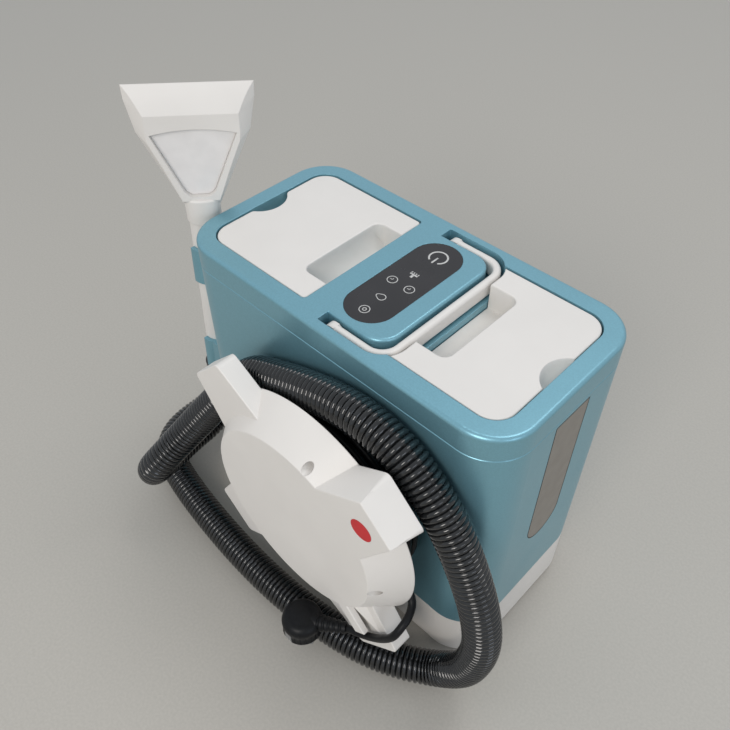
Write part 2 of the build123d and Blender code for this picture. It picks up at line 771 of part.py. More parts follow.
mount = ring(column_mid, 0, fan_top, motor_low, motor_radius - 2, 22)
save("fan_housing", housing)
save("fan_wheel", wheel)
save("motor_shaft", shaft)
save("vacuum_motor", motor)
save("motor_mount_ring", mount)

# Pump and the pipes in the plinth
pump = box(column_mid - 20, column_mid + 20, pump_y - 15, pump_y + 15, plinth_height, plinth_height + 34)
pump += rod_x(pump_y, plinth_height + 46, column_mid - 24, column_mid + 24, 14)
save("water_pump", pump)
pipe_z = plate_low - 20
feed_points = [
    (valve_x + 8, valve_y, plate_low),
    (valve_x + 8, valve_y, pipe_z),
    (column_mid + 12, pump_y, pipe_z),
    (column_mid + 12, pump_y, plate_low),
]
outlet_points = [
    (column_mid - 12, pump_y, plate_low),
    (column_mid - 12, pump_y, pipe_z),
    (riser_x + 22, pump_y, pipe_z - 10),
    (riser_x - 5, port_y - riser_radius - 10, pipe_z - 10),
    (riser_x - 5, port_y - riser_radius, pipe_z - 8),
]
save("pump_feed_pipe", tube(FilletPolyline(*feed_points, radius=9), pipe_radius, pipe_radius - 1))
save("pump_outlet_pipe", tube(FilletPolyline(*outlet_points, radius=4.4), pipe_radius, pipe_radius - 1))

# Ducts in the plinth
port_in = -half_l + 8
duct_points = [(port_in, port_y, port_z), (riser_x, port_y, port_z), (riser_x, port_y, plate_low)]
save("suction_duct", tube(FilletPolyline(*duct_points, radius=18), riser_radius, riser_radius - pipe_wall))
air_points = [
    (air_x, air_y, plate_low),
    (air_x, air_y, plate_low - 30),
    (column_mid, 0, plate_low - 30),
    (column_mid, 0, plate_low),
]
save("air_duct", tube(FilletPolyline(*air_points, radius=16), air_radius - 1, air_radius - 1 - pipe_wall))

# Hose port in the plinth's left end and the cuff pushed into it
port_face = -half_l - port_flange
cuff_face = port_face - port_cuff_length
nose_radius = 15.0
port = rod_x(port_y, port_z, port_face, -half_l, cuff_radius + 5)
port += rod_x(port_y, port_z, -half_l, port_in, port_radius)
port -= rod_x(port_y, port_z, port_face, port_in - 2, nose_radius + 0.3)
port -= rod_x(port_y, port_z, port_in - 2, port_in, riser_radius - pipe_wall)
save("hose_port", port)
cuff = rod_x(port_y, port_z, cuff_face, port_face, cuff_radius)
cuff += rod_x(port_y, port_z, port_face, port_in - 2.3, nose_radius)
cuff -= rod_x(port_y, port_z, cuff_face, port_in, hose_bore)
save("hose_cuff_machine", cuff)

# Winder: drum, cap and screws, seen from the front with the cap towards -Y
winder_face = Plane(origin=(winder_x, -half_w, winder_z), x_dir=(1, 0, 0), z_dir=(0, -1, 0))
cap_depth = cap_high - cap_low
drum = Pos(0, 0, drum_length / 2) * Cylinder(drum_radius, drum_length)
drum -= Pos(0, 0, drum_length / 2) * Cylinder(drum_radius - wall, drum_length)
flange = Pos(0, 0, drum_length + flange_thick / 2) * Cylinder(flange_radius, flange_thick)
drum += flange
cone = Pos(0, 0, cap_low + cap_depth / 2) * Cone(cap_back_radius, cap_front_radius, cap_depth)
hollow_depth = cap_depth - cap_wall
hollow_front = cap_front_radius + (cap_back_radius - cap_front_radius) * cap_wall / cap_depth - cap_wall
hollow = Pos(0, 0, cap_low + hollow_depth / 2) * Cone(cap_back_radius - cap_wall, hollow_front, hollow_depth)


def lug(angle, tip, width, shift, z0, z1, inset, taper=0.0):
    """One lug of the cap: a plate that widens towards the middle."""
    root = 60.0
    half_tip = width / 2 - inset
    half_root = half_tip + (tip - root) * math.tan(math.radians(lug_flare))
    reach = tip - inset
    corners = [
        (root, shift - half_root),
        (reach, shift - half_tip),
        (reach, shift + half_tip),
        (root, shift + half_root),
    ]
    plate = make_face(Polyline(*corners, close=True))
    plate = fillet(plate.vertices().sort_by(Axis.X)[-2:], lug_corner)
    return Rot(0, 0, angle) * Pos(0, 0, z0) * extrude(plate, z1 - z0, taper=taper)


lug_front = cap_low + 1 + lug_thick


def soft_lug(angle, tip, width, shift):
    """A lug with its front rim rounded."""
    plate = lug(angle, tip, width, shift, cap_low + 1, lug_front, 0)
    return fillet(plate.faces().sort_by(Axis.Z)[-1].edges(), cap_edge)


cap = cone
for angle in (135, 225):
    cap += soft_lug(angle, lug_tip, lug_width, 0)
cap += soft_lug(315, low_lug_tip, low_lug_width, low_lug_shift)
cap += lug(45, lug_tip, lug_width, 0, cap_low + 1, cap_high, 0, 12)
prong = Pos((prong_reach + cap_front_radius - 6) / 2, 0, cap_high - prong_thick / 2)
prong_length = prong_reach - cap_front_radius + 6
cap += Rot(0, 0, prong_angle) * prong * Box(prong_length, prong_width, prong_thick)
wedge_crest = Vector(cap_front_radius - 4, 0, cap_high - 2)
wedge_point = Vector(wedge_tip, 0, lug_front - 1)
wedge_feet = [Vector(cap_front_radius - 4, side * wedge_root / 2, lug_front - 1) for side in (-1, 1)]
wedge_sides = [
    (wedge_crest, wedge_point, wedge_feet[0]),
    (wedge_crest, wedge_feet[1], wedge_point),
    (wedge_crest, wedge_feet[0], wedge_feet[1]),
    (wedge_point, wedge_feet[1], wedge_feet[0]),
]
wedge = Solid(Shell([make_face(Polyline(*side, close=True)) for side in wedge_sides]))
cap += Rot(0, 0, wedge_angle) * wedge
cap -= hollow
for angle in (135, 225):
    cap -= lug(angle, lug_tip, lug_width, 0, cap_low, lug_front - cap_wall, cap_wall)
cap -= lug(315, low_lug_tip, low_lug_width, low_lug_shift, cap_low, lug_front - cap_wall, cap_wall)
cap -= lug(45, lug_tip - 4, lug_width - 6, 0, cap_low, cap_high - cap_wall - marker_depth, cap_wall, 12)
boss_low = drum_length + flange_thick
screw_head_low = boss_low + 6
cap_screws = None
for angle in cap_screw_angles:
    spot = Rot(0, 0, angle) * Pos(cap_screw_circle, 0, 0)
    boss_height = cap_high - boss_low
    boss = spot * Pos(0, 0, boss_low + boss_height / 2) * Cylinder(6.5, boss_height)
    cap += boss & cone
    deep = cap_high - screw_head_low
    cap -= spot * Pos(0, 0, screw_head_low + deep / 2) * Cylinder(cap_hole_radius, deep)
    shank = screw_head_low - drum_length
    cap -= spot * Pos(0, 0, drum_length + shank / 2) * Cylinder(screw_radius + screw_play, shank)
    drum -= spot * Pos(0, 0, drum_length + shank / 2) * Cylinder(screw_radius + screw_play, shank)
    screw = spot * Pos(0, 0, drum_length + shank / 2) * Cylinder(screw_radius, shank)
    screw += spot * Pos(0, 0, screw_head_low + 1.5) * Cylinder(cap_hole_radius - 0.4, 3)
    cap_screws = screw if cap_screws is None else cap_screws + screw
marker_spot = Rot(0, 0, marker_angle) * Pos(marker_reach, 0, cap_high - marker_depth / 2)
cap -= marker_spot * Cylinder(marker_radius + 0.1, marker_depth)
marker = marker_spot * Cylinder(marker_radius, marker_depth)


def on_front_rim(edge):
    """Whether an edge bounds the cap's front face, holes apart."""
    limits = edge.bounding_box()
    hole = edge.geom_type == GeomType.CIRCLE and edge.radius < 2 * marker_radius
    return not hole and min(limits.min.Z, limits.max.Z) > cap_high - 0.01


cap = fillet(cap.edges().filter_by(on_front_rim), cap_edge)
winder_place = winder_face.location
save("winder_drum", winder_place * drum)
save("winder_cap", winder_place * cap)
save("winder_screws", winder_place * cap_screws)
save("red_marker", winder_place * marker)

# Mains cord on the drum
layer_low = 1.5
layer_high = drum_length - 4
layer_outer = winder_radius_2 - cord_radius - cord_layer_gap
layer_mid = Pos(0, 0, (layer_low + layer_high) / 2)
layer = layer_mid * Cylinder(layer_outer, layer_high - layer_low)
layer -= layer_mid * Cylinder(drum_radius + cord_layer_gap, layer_high - layer_low)
save("mains_cord_inner_layer", winder_place * layer)


def cord_point(angle):
    """A point of the wound cord and its direction; it winds clockwise seen from the front."""
    turn = math.radians(cord_start_angle - angle)
    drop = cord_pitch / (2 * math.pi)
    x = winder_x + winder_radius_2 * math.cos(turn)
    z = winder_z + winder_radius_2 * math.sin(turn)
    place = Vector(x, -half_w - cord_first - drop * math.radians(angle), z)
    way = Vector(winder_radius_2 * math.sin(turn), -drop, -winder_radius_2 * math.cos(turn))
    return place, way.normalized()


cord_total = 360.0 * cord_full_turns + cord_start_angle - cord_end_angle
first_place, first_way = cord_point(0)
last_place, last_way = cord_point(cord_total)
cord_out = first_place - first_way * (2 * cord_radius)
cord_end = last_place + last_way * (2 * cord_radius)
cord_edges = winding(cord_point, cord_total, round(cord_total / 90))
cord_edges = [Line(cord_out, first_place)] + cord_edges + [Line(last_place, cord_end)]
cord_path = Wire(cord_edges)
save("mains_cord_winding", tube(cord_path, cord_radius))
cord_samples = [cord_point(cord_total * i / 720)[0] for i in range(721)]
nearest = min(
    (cord_samples[i] - cord_samples[j]).length for i in range(0, 721, 6) for j in range(i + 120, 721)
)
cord_gap = nearest - 2 * cord_radius
print("wound cord length", round(cord_path.length, 1), "least gap to itself", round(cord_gap, 2))

gland_length = 14.0
gland_turn = 270 - cord_start_angle
gland_mid = cord_out - first_way * (gland_length / 2 + 0.15)
gland = Pos(0, 0, -1.8) * Box(gland_length, 8, 10)
gland = Pos(gland_mid.X, -half_w - 4, gland_mid.Z) * Rot(0, gland_turn, 0) * gland
save("cord_gland", gland)

tail_first = cord_end + last_way * tail_lead
tail_route = [(cord_end.X, cord_end.Y, cord_end.Z), (tail_first.X, tail_first.Y, tail_first.Z)] + tail_points
tail_radii = bend_radii(tail_route)
tail_path = FilletPolyline(*tail_route, radius=tail_radii)
tail = tube(tail_path, cord_radius)
save("mains_cord_tail", tail)
tail_ideal = math.pi * cord_radius**2 * tail_path.length
print("cord tail length", round(tail_path.length, 1), "volume ratio", round(tail.volume / tail_ideal, 4))
print("cord tail radii", [round(r, 1) for r in tail_radii])

# Plug with its pins pointing down and the strain relief towards the cord
relief_end = Vector(*tail_points[-1])
relief_way = Vector(*tail_points[-1]) - Vector(*tail_points[-2])
plug = rod(plug_x, plug_y, plug_low, plug_low + plug_height, plug_radius)
plug = fillet(plug.faces().sort_by(Axis.Z)[-1].edges(), plug_dome)
relief_start = Vector(plug_x + 6, plug_y + 3.3, plug_low + 14)
relief_plane = Plane(origin=relief_end, z_dir=relief_way)
relief_root = Plane(origin=relief_start, z_dir=relief_start - relief_end)
relief = loft([relief_plane * Circle(relief_radius - 1.5), relief_root * Circle(relief_radius + 2)])
plug += relief
contact_slot = 8.4
for side in (-1, 1):
    plug -= Pos(plug_x, plug_y + side * plug_radius, plug_low + 5) * Box(contact_slot, 3, 12)
save("mains_plug", plug)
plug_pins = None
contacts = None
for side in (-1, 1):
    spot = plug_x + side * plug_pin_spacing / 2
    plug_pin = rod(spot, plug_y, plug_low - plug_pin_length, plug_low, plug_pin_radius)
    plug_pins = plug_pin if plug_pins is None else plug_pins + plug_pin
    contact_spot = Pos(plug_x, plug_y + side * (plug_radius - 1.1), plug_low + 5)
    contact = contact_spot * Box(contact_slot - 0.4, 0.8, 11)
    contacts = contact if contacts is None else contacts + contact
save("plug_pins", plug_pins)
save("plug_earth_contacts", contacts)

# Clips that hold the wand on the left end
clips = None
clip_screws = None
for level in clip_levels:
    jaw = Cylinder(wand_radius + loose + clip_wall, clip_height)
    reach = 12 + wand_gap
    jaw += Pos(reach / 2, 0, 0) * Box(reach, 2 * (wand_radius + clip_wall) - 4, clip_height)
    jaw -= Cylinder(wand_radius + loose, clip_height)
    jaw -= Pos(-clip_wrap - 50, 0, 0) * Box(100, 100, clip_height)
    clip = wand_place * Pos(0, 0, level) * jaw
    clip -= rounded_block(-half_l, half_l, half_w, 0, body_height, corner_radius)
    clips = clip if clips is None else clips + clip
for y, z in clip_screw_points:
    clips -= rod_x(y, z, -half_l - 6, -half_l, screw_radius + screw_play)
    screw = rod_x(y, z, -half_l - 5.7, -inner_l, screw_radius)
    screw += rod_x(y, z, -inner_l, -inner_l + 2.5, screw_head_radius)
    clip_screws = screw if clip_screws is None else clip_screws + screw
save("wand_clips", clips)
save("clip_screws", clip_screws)

# Wand tube with the ears of its trigger
wand = Pos(0, 0, (wand_low + wand_high) / 2) * Cylinder(wand_radius, wand_high - wand_low)
trigger_place = Rot(0, 0, trigger_side)
ear_low = trigger_pivot - 6
ear_high = trigger_pivot + 6
for side in (-1, 1):
    y0, y1 = sorted((side * (trigger_half + 0.5), side * (trigger_half + 3)))
    wand += trigger_place * box(8, trigger_out + 1, y0, y1, ear_low, ear_high)
wand -= Pos(0, 0, (wand_low + wand_high) / 2) * Cylinder(wand_bore, wand_high - wand_low)
pivot_r = (trigger_in + trigger_out) / 2
ear_span = trigger_half + 3
wand -= trigger_place * rod_y(pivot_r, trigger_pivot, -ear_span, ear_span, trigger_pin_radius + screw_play)
lever = trigger_place * box(trigger_in, trigger_out, -trigger_half, trigger_half, trigger_low, trigger_high)
lever = fillet(lever.edges().filter_by(lambda e: abs(e.tangent_at(0.5).Z) > 0.9), 2)
lever -= trigger_place * rod_y(pivot_r, trigger_pivot, -ear_span, ear_span, trigger_pin_radius + pin_play)
trigger_pin = trigger_place * rod_y(pivot_r, trigger_pivot, -ear_span, ear_span, trigger_pin_radius)
save("wand_tube", wand_place * wand)
save("wand_trigger", wand_place * lever)
save("trigger_pin", wand_place * trigger_pin)


# Nozzle head: a hollow fan between the collar and the mouth; u is across, v is towards the front
def head_body(grow, cut_low):
    """The head's outer form, or its inside when grow is negative."""
    front = [(13.5, head_top - 95), (35, head_top - 38), (36.5, head_top - 14), (36.5, head_top + 4)]
    middle = [(15.0, head_top - 112), (47, head_top - 40), (52, head_top - 12), (52.5, head_top + 4)]
    back = [(13.5, head_top - 112), (45, head_top - 40), (51, head_top - 12), (51.5, head_top + 4)]
    sections = []
    for depth, half_outline in ((13.0 + grow, front), (0.0, middle), (-13.0 - grow, back)):
        right = [(u + grow, z) for u, z in half_outline]
        left = [(-u, z) for u, z in reversed(right)]
        plane = Plane(origin=(0, -depth, 0), x_dir=(1, 0, 0), z_dir=(0, -1, 0))
        sections.append(plane * make_face(Polyline(*right, *left, close=True)))
    body = loft(sections, ruled=True)
    side = [
        (15.0 + grow, cut_low),
        (12.0 + grow, head_top - 31),
        (12.0 + grow, head_top - 15 + grow / 2),
        (0.0, head_top + grow),
        (-9.0 - grow, head_top - 11 + grow / 2),
        (-12.0 - grow, head_top - 40),
        (-15.0 - grow, cut_low),
    ]
    profile = Plane.YZ * make_face(Polyline(*[(-v, z) for v, z in side], close=True))
    return body & (Pos(-80, 0, 0) * extrude(profile, 160))


head_place = Rot(0, 0, head_turn)
collar_high = head_top - 94
head = head_body(0.0, collar_low)
collar = Pos(0, 0, (collar_low + collar_high) / 2) * Cylinder(collar_radius, collar_high - collar_low)
head += fillet(collar.faces().sort_by(Axis.Z)[-1].edges(), head_wall)
head -= head_body(-head_wall, collar_low)
bore_high = collar_high - head_wall
head -= Pos(0, 0, (collar_low + bore_high) / 2) * Cylinder(wand_bore, bore_high - collar_low)
head -= Pos(0, mouth_back, head_top - 12) * Box(mouth_length, mouth_width, 40)


def cover_outline(inset, v0, v1):
    """The rounded triangle of the clear cover."""
    high = head_top - 31 - inset
    low = head_top - 88 + inset
    corners = [(33.0 - inset, high), (9.0 - inset / 2, low), (-9.0 + inset / 2, low), (-33.0 + inset, high)]
    plane = Plane(origin=(0, -v0, 0), x_dir=(1, 0, 0), z_dir=(0, -1, 0))
    arch = ThreePointArc(corners[3], (0, high + cover_arch), corners[0])
    face = make_face([*Polyline(*corners).edges(), arch])
    face = fillet(face.vertices().sort_by(Axis.Y)[:2], 6)
    return extrude(plane * face, v1 - v0)


head += cover_outline(-head_wall, cover_front - 2 - head_wall, 13) & head_body(0.0, collar_low)
head -= cover_outline(0.0, cover_front - 2, 30)
head -= cover_outline(4.0, cover_front - 5, cover_front)
cover = cover_outline(0.25, cover_front - 2, cover_front)
jet_place = Pos(0, 9.5, head_top - 30) * Rot(90, 0, 0)
head -= jet_place * Cylinder(jet_radius + screw_play, 8)
jet = jet_place * Cylinder(jet_radius, 6)
save("nozzle_head", wand_place * head_place * head)
save("nozzle_cover", wand_place * head_place * cover)
save("spray_jet", wand_place * head_place * jet)

# Cuff at the foot of the wand
cuff_mid = wand_low - wand_cuff_length / 2
wand_cuff = Pos(0, 0, cuff_mid) * Cylinder(cuff_radius, wand_cuff_length)
wand_cuff -= Pos(0, 0, cuff_mid) * Cylinder(wand_bore + 1, wand_cuff_length)
save("hose_cuff_wand", wand_place * wand_cuff)

# Suction hose: a bore inside a row of ribs
hose_end = wand_low - wand_cuff_length
hose_tip = (wand_place * Pos(0, 0, hose_end)).position
hose_foot = (wand_place * Pos(0, 0, hose_end - hose_rise)).position
hose_route = [(cuff_face, port_y, port_z)] + hose_points
hose_route += [(hose_foot.X, hose_foot.Y, hose_foot.Z), (hose_tip.X, hose_tip.Y, hose_tip.Z)]
hose_radii = bend_radii(hose_route)


def route_pieces(points, radii):
    """The straight runs and arcs of a route, each as start, direction, arc centre and length."""
    pieces = []
    at = Vector(*points[0])
    for index, radius in enumerate(radii):
        corner = Vector(*points[index + 1])
        way_in = (corner - Vector(*points[index])).normalized()
        way_out = (Vector(*points[index + 2]) - corner).normalized()
        turn = math.radians(way_in.get_angle(way_out))
        cut = radius * math.tan(turn / 2)
        arc_start = corner - way_in * cut
        pieces.append((at, way_in, None, 0.0, (arc_start - at).length))
        inward = (way_out - way_in * way_in.dot(way_out)).normalized()
        pieces.append((arc_start, way_in, inward, radius, radius * turn))
        at = corner + way_out * cut
    last = Vector(*points[-1])
    pieces.append((at, (last - at).normalized(), None, 0.0, (last - at).length))
    return pieces


def route_at(pieces, distance):
    """The place and direction at a distance along a route."""
    for start, way, inward, radius, length in pieces:
        if distance <= length or (start, way, inward, radius, length) == pieces[-1]:
            if inward is None:
                return start + way * distance, way
            angle = distance / radius
            place = start + way * (radius * math.sin(angle)) + inward * (radius * (1 - math.cos(angle)))
            return place, way * math.cos(angle) + inward * math.sin(angle)
        distance -= length
    raise ValueError("the distance lies past the route's end")


hose_pieces = route_pieces(hose_route, hose_radii)
hose_length = sum(piece[4] for piece in hose_pieces)
rib_pitch = hose_length / hose_ribs
rib_shape = ((0.0, hose_valley), (0.25, hose_radius), (0.6, hose_radius), (0.85, hose_valley))
steady = Vector(0, 0, 1)
rib_wires = []
stations = [(rib_pitch * (i + share), radius) for i in range(hose_ribs) for share, radius in rib_shape]
stations.append((hose_length, hose_valley))
for distance, radius in stations:
    place, way = route_at(hose_pieces, min(distance, hose_length))
    steady = (steady - way * steady.dot(way)).normalized()
    rib_wires.append(Wire.make_circle(radius, Plane(origin=place, x_dir=steady, z_dir=way)))
hose = Solid.make_loft(rib_wires, ruled=True)
hose_path = FilletPolyline(*hose_route, radius=hose_radii)
hose -= tube(hose_path, hose_bore, seam=bore_seam)
save("suction_hose", hose)
hose_ideal = math.pi * (((hose_radius + hose_valley) / 2) ** 2 - hose_bore**2) * hose_length
hose_ratio = hose.volume / hose_ideal
print("hose length", round(hose_length, 1), round(hose_path.length, 1), "volume ratio", round(hose_ratio, 4))
print("hose radii", [round(r, 1) for r in hose_radii])
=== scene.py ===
import json
import math
from functools import wraps

import bmesh
import bpy
import numpy as np
from mathutils import Matrix, Vector


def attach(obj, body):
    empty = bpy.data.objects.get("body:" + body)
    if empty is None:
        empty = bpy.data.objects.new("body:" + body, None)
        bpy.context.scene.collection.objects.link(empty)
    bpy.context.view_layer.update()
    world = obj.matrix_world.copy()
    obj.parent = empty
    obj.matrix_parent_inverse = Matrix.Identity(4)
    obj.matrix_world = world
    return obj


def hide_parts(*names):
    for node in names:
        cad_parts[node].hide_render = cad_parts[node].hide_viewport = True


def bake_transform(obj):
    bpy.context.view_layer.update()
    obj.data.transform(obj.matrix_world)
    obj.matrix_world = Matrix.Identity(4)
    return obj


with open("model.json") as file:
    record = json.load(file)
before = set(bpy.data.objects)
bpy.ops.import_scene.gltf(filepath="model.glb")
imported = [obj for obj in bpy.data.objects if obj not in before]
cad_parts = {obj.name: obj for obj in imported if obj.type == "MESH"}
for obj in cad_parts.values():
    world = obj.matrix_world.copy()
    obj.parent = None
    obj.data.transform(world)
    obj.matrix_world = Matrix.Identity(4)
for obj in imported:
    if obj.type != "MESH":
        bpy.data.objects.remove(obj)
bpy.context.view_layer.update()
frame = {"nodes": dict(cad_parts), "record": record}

bl_info = {
    "name": "Carpet washer",
    "version": (1, 0, 0),
    "blender": (4, 5, 0),
    "location": "View3D > Sidebar > Washer",
    "description": "Gives a portable carpet washing machine its surfaces, hose, cord and studio",
    "category": "Object",
}

MM = 0.001

# The photograph's camera: its place, and its right, down and forward directions, then its focal length
# in pixels, its sensor's width in millimetres and the nearest distance that it sees in metres
CAMERA_PLACE = np.array((310.99, -353.79, 703.37)) * MM
CAMERA_RIGHT = (0.71786, 0.69617, -0.00548)
CAMERA_DOWN = (0.49711, -0.51807, -0.69605)
CAMERA_FORWARD = (-0.48741, 0.49694, -0.71797)
CAMERA_FOCAL_PIXELS = 756.28
CAMERA_SENSOR = 36.0
CAMERA_NEAR = 0.01
PHOTO_PIXELS = 730

# The studio, in metres and watts: each lamp's name, place, width, power and colour, the point that the
# lamps face, the light from all round and the floor
LAMPS = (
    ("key", (0.75, -2.3, 1.95), 1.1, 30.0, "#fffaf4"),
    ("side", (2.3, -0.5, 1.0), 0.9, 5.5, "#e6eefc"),
    ("top", (0.2, 1.0, 2.6), 1.0, 12.0, "#ffffff"),
)
LAMP_AIM = (0.0, 0.0, 0.15)
WORLD_COLOUR = "#eff4fa"
WORLD_STRENGTH = 0.72
FLOOR_WIDTH = 12.0

# Routes in millimetres, as the solids follow them
HOSE_START = (-180.0, -18.0, 30.0)
HOSE_POINTS = [
    (-213.8, -18.0, 30.0),
    (-230.8, -27.8, 28.0),
    (-240.6, -44.8, 24.0),
    (-242.5, -66.0, 19.0),
    (-243.5, -89.0, 17.0),
    (-238.0, -109.5, 17.0),
    (-224.5, -127.0, 17.0),
    (-203.0, -138.5, 17.0),
    (-160.0, -147.0, 17.0),
    (-111.0, -153.0, 17.0),
    (-55.0, -157.0, 17.0),
    (0.0, -157.0, 17.0),
    (51.0, -152.0, 17.0),
    (95.0, -143.0, 17.0),
    (131.0, -129.0, 18.0),
    (163.0, -110.0, 22.0),
    (185.0, -106.0, 52.0),
    (193.0, -105.0, 87.0),
    (195.0, -105.0, 122.0),
    (187.0, -105.0, 161.0),
    (175.0, -105.0, 192.0),
    (159.0, -105.0, 224.0),
    (140.0, -105.0, 251.0),
    (115.0, -105.0, 273.0),
    (91.0, -105.0, 284.0),
    (61.0, -105.0, 287.0),
    (30.0, -105.0, 281.0),
    (-4.0, -105.0, 269.0),
    (-39.0, -105.0, 254.0),
    (-67.0, -104.8, 240.0),
    (-104.0, -117.0, 190.0),
    (-136.0, -140.5, 135.7),
    (-151.2, -174.2, 101.6),
    (-160.9, -178.4, 84.8),
    (-171.4, -172.2, 69.1),
    (-179.6, -157.4, 58.7),
    (-189.5, -114.5, 55.0),
    (-192.8, -89.2, 52.5),
    (-193.8, -69.7, 60.5),
]
WAND_PLACE = (-194.0, -49.5, 220.0)
WAND_LEAN = 3.2
HOSE_END_LEVEL = -100.0
HOSE_RISE = 42.5
TAIL_POINTS = [
    (124.5, -119.0, 142.0),
    (135.5, -121.0, 130.0),
    (140.8, -131.5, 126.0),
    (141.5, -141.5, 122.5),
    (139.5, -148.8, 113.0),
    (130.5, -149.5, 97.0),
    (118.0, -149.0, 79.5),
    (105.5, -150.0, 68.0),
    (88.0, -152.5, 59.0),
]
TAIL_LEAD = 21.0

# The winder's axis as X and Z, and the cord on it: where each layer starts, in degrees from +X towards
# +Z, how far it runs clockwise from there, seen from the front, and its first Y and its pitch
WINDER = (26.5, 167.0)
CORD_START_ANGLE = 225.0
CORD_TOTAL_ANGLE = 1289.6
CORE_START_ANGLE = 40.0
CORE_TOTAL_ANGLE = 4 * 360.0
CORD_FIRST_Y = -91.5
CORD_PITCH = 7.6
POINTS_PER_TURN = 16

# The plug's axis, levels, strain relief and earth contacts
PLUG_PLACE = (51.0, -172.5)
PLUG_LOW = 39.0
PLUG_HIGH = 63.0
PLUG_RELIEF = ((57.0, -169.2, 53.0), (88.0, -152.5, 59.0))
PLUG_CONTACT_HALF = 4.2
PLUG_CONTACT_REACH = 17.0
PLUG_CONTACT_RISE = 11.2

# The nozzle head: its turn on the wand, the level of its top along the wand's axis,
# and the height of its collar's top over the floor
HEAD_TURN = 53.0
HEAD_TOP = 210.0
HEAD_COLLAR = 337.0
# Where the look draws the head's front: a level from the head's top in the solid, and in the look
HEAD_LEVELS = (
    (-124.0, -124.0),
    (-112.0, -112.0),
    (-96.0, -101.0),
    (-88.0, -92.5),
    (-31.0, -38.5),
    (-15.0, -22.0),
    (0.0, 0.0),
    (10.0, 10.0),
)
# A level in the solid, half the widths of the cover and of the face round it there, and both in the look
HEAD_WIDTHS = (
    (-124.0, 2.0, 9.0, 2.0, 9.0),
    (-96.0, 7.0, 13.0, 9.5, 15.5),
    (-88.0, 9.0, 16.1, 12.5, 18.5),
    (-31.0, 33.0, 35.5, 35.4, 37.3),
    (-15.0, 36.0, 36.5, 36.4, 37.0),
    (10.0, 36.0, 36.5, 36.0, 36.5),
)
# Depths in front of the wand's axis from which the face and the sides move in full, and the margin
# inside the face's edge that moves with the sides
FACE_DEPTH = 4.0
SIDE_DEPTH = 12.0
FACE_EDGE = 0.5
# The cover's foot: how far its middle sinks, over which half width, and from which levels to which
FOOT_SINK = 4.5
FOOT_HALF = 14.0
FOOT_START = -80.0
FOOT_FULL = -88.0
FOOT_END = -92.0
# The head's faces: triangles with less than the first bend between them are one face,
# and an edge with more than the second is sharp, if it is longer than this
FLAT_BEND = 0.6
CREASE_BEND = 3.0
CREASE_LENGTH = 10.0

# The outlet valve's spring: its axis, the middle of its wire at both ends, and its turns
VALVE_PLACE = (107.0, -20.0)
SPRING_LOW = 80.3
SPRING_HIGH = 97.1
SPRING_TURNS = 5

# The level window's outline in the right end: half width, middle of its round foot, and top
WINDOW_FACE = 172.03
WINDOW_HALF = 21.0
WINDOW_FOOT = 157.0
WINDOW_TOP = 292.0

# Marks on the touch panel, as X and Y on its face, and the thickness of a coat of ink
PANEL_TOP = 319.84
MARK_POWER = (9.0, 41.0)
MARK_NOZZLE = (9.0, 10.0)
MARK_TIMERS = ((0.5, -5.5), (18.5, -5.5))
MARK_DROP = (9.0, -27.0)
MARK_RING = (9.0, -46.0)
INK = 0.04

# The least sine of a path's angle to the upright at which its first ring is set from the upright
UPRIGHT_SINE = 0.2

# Values of a noise at which a tint reaches its two shades, and wear its two ends
TINT_SPAN = (0.35, 0.65)
WEAR_SPAN = (0.3, 0.7)


def linear(code):
    """An sRGB hex colour as linear red, green, blue and alpha."""
    parts = np.array([int(code[i : i + 2], 16) for i in (1, 3, 5)]) / 255
    low = parts / 12.92
    high = ((parts + 0.055) / 1.055) ** 2.4
    return (*np.where(parts <= 0.04045, low, high).tolist(), 1.0)


def size(name, millimetres, text):
    """A length that a user may change."""
    return bpy.props.FloatProperty(
        name=name, description=text, default=millimetres * MM, unit="LENGTH"
    )


def colour(name, code, text):
    """A colour that a user may change."""
    return bpy.props.FloatVectorProperty(
        name=name, description=text, default=linear(code), subtype="COLOR", size=4, min=0, max=1
    )


class WasherSizes(bpy.types.PropertyGroup):
    """Sizes of the pieces that are made here, and of the rounding that the finishes show."""

    hose_radius: size("Hose radius", 16.0, "Outer radius over the ribs of the suction hose")
    hose_valley: size("Hose valley", 13.9, "Radius between two ribs of the suction hose")
    rib_pitch: size("Rib pitch", 4.75, "Distance from one rib of the hose to the next")
    cord_radius: size("Cord radius", 3.5, "Radius of the mains cord")
    plug_radius: size("Plug radius", 18.5, "Radius of the moulded plug")
    winding_radius: size("Winding radius", 85.4, "Radius of the outer layer of cord on the drum")
    core_radius: size("Core radius", 78.3, "Radius of the inner layer of cord on the drum")
    spring_radius: size("Spring radius", 6.0, "Radius of the valve spring's coils")
    spring_wire: size("Spring wire", 0.6, "Radius of the valve spring's wire")
    # Width of the strip of painted shade that stands for the gap round the level window
    window_shade_width: size("Window line", 0.9, "Width of the dark joint round the level window")
    mark_line: size("Mark line", 1.1, "Line width of the marks on the touch panel")
    edge_round: size("Edge rounding", 0.8, "Rounding of the moulded edges")


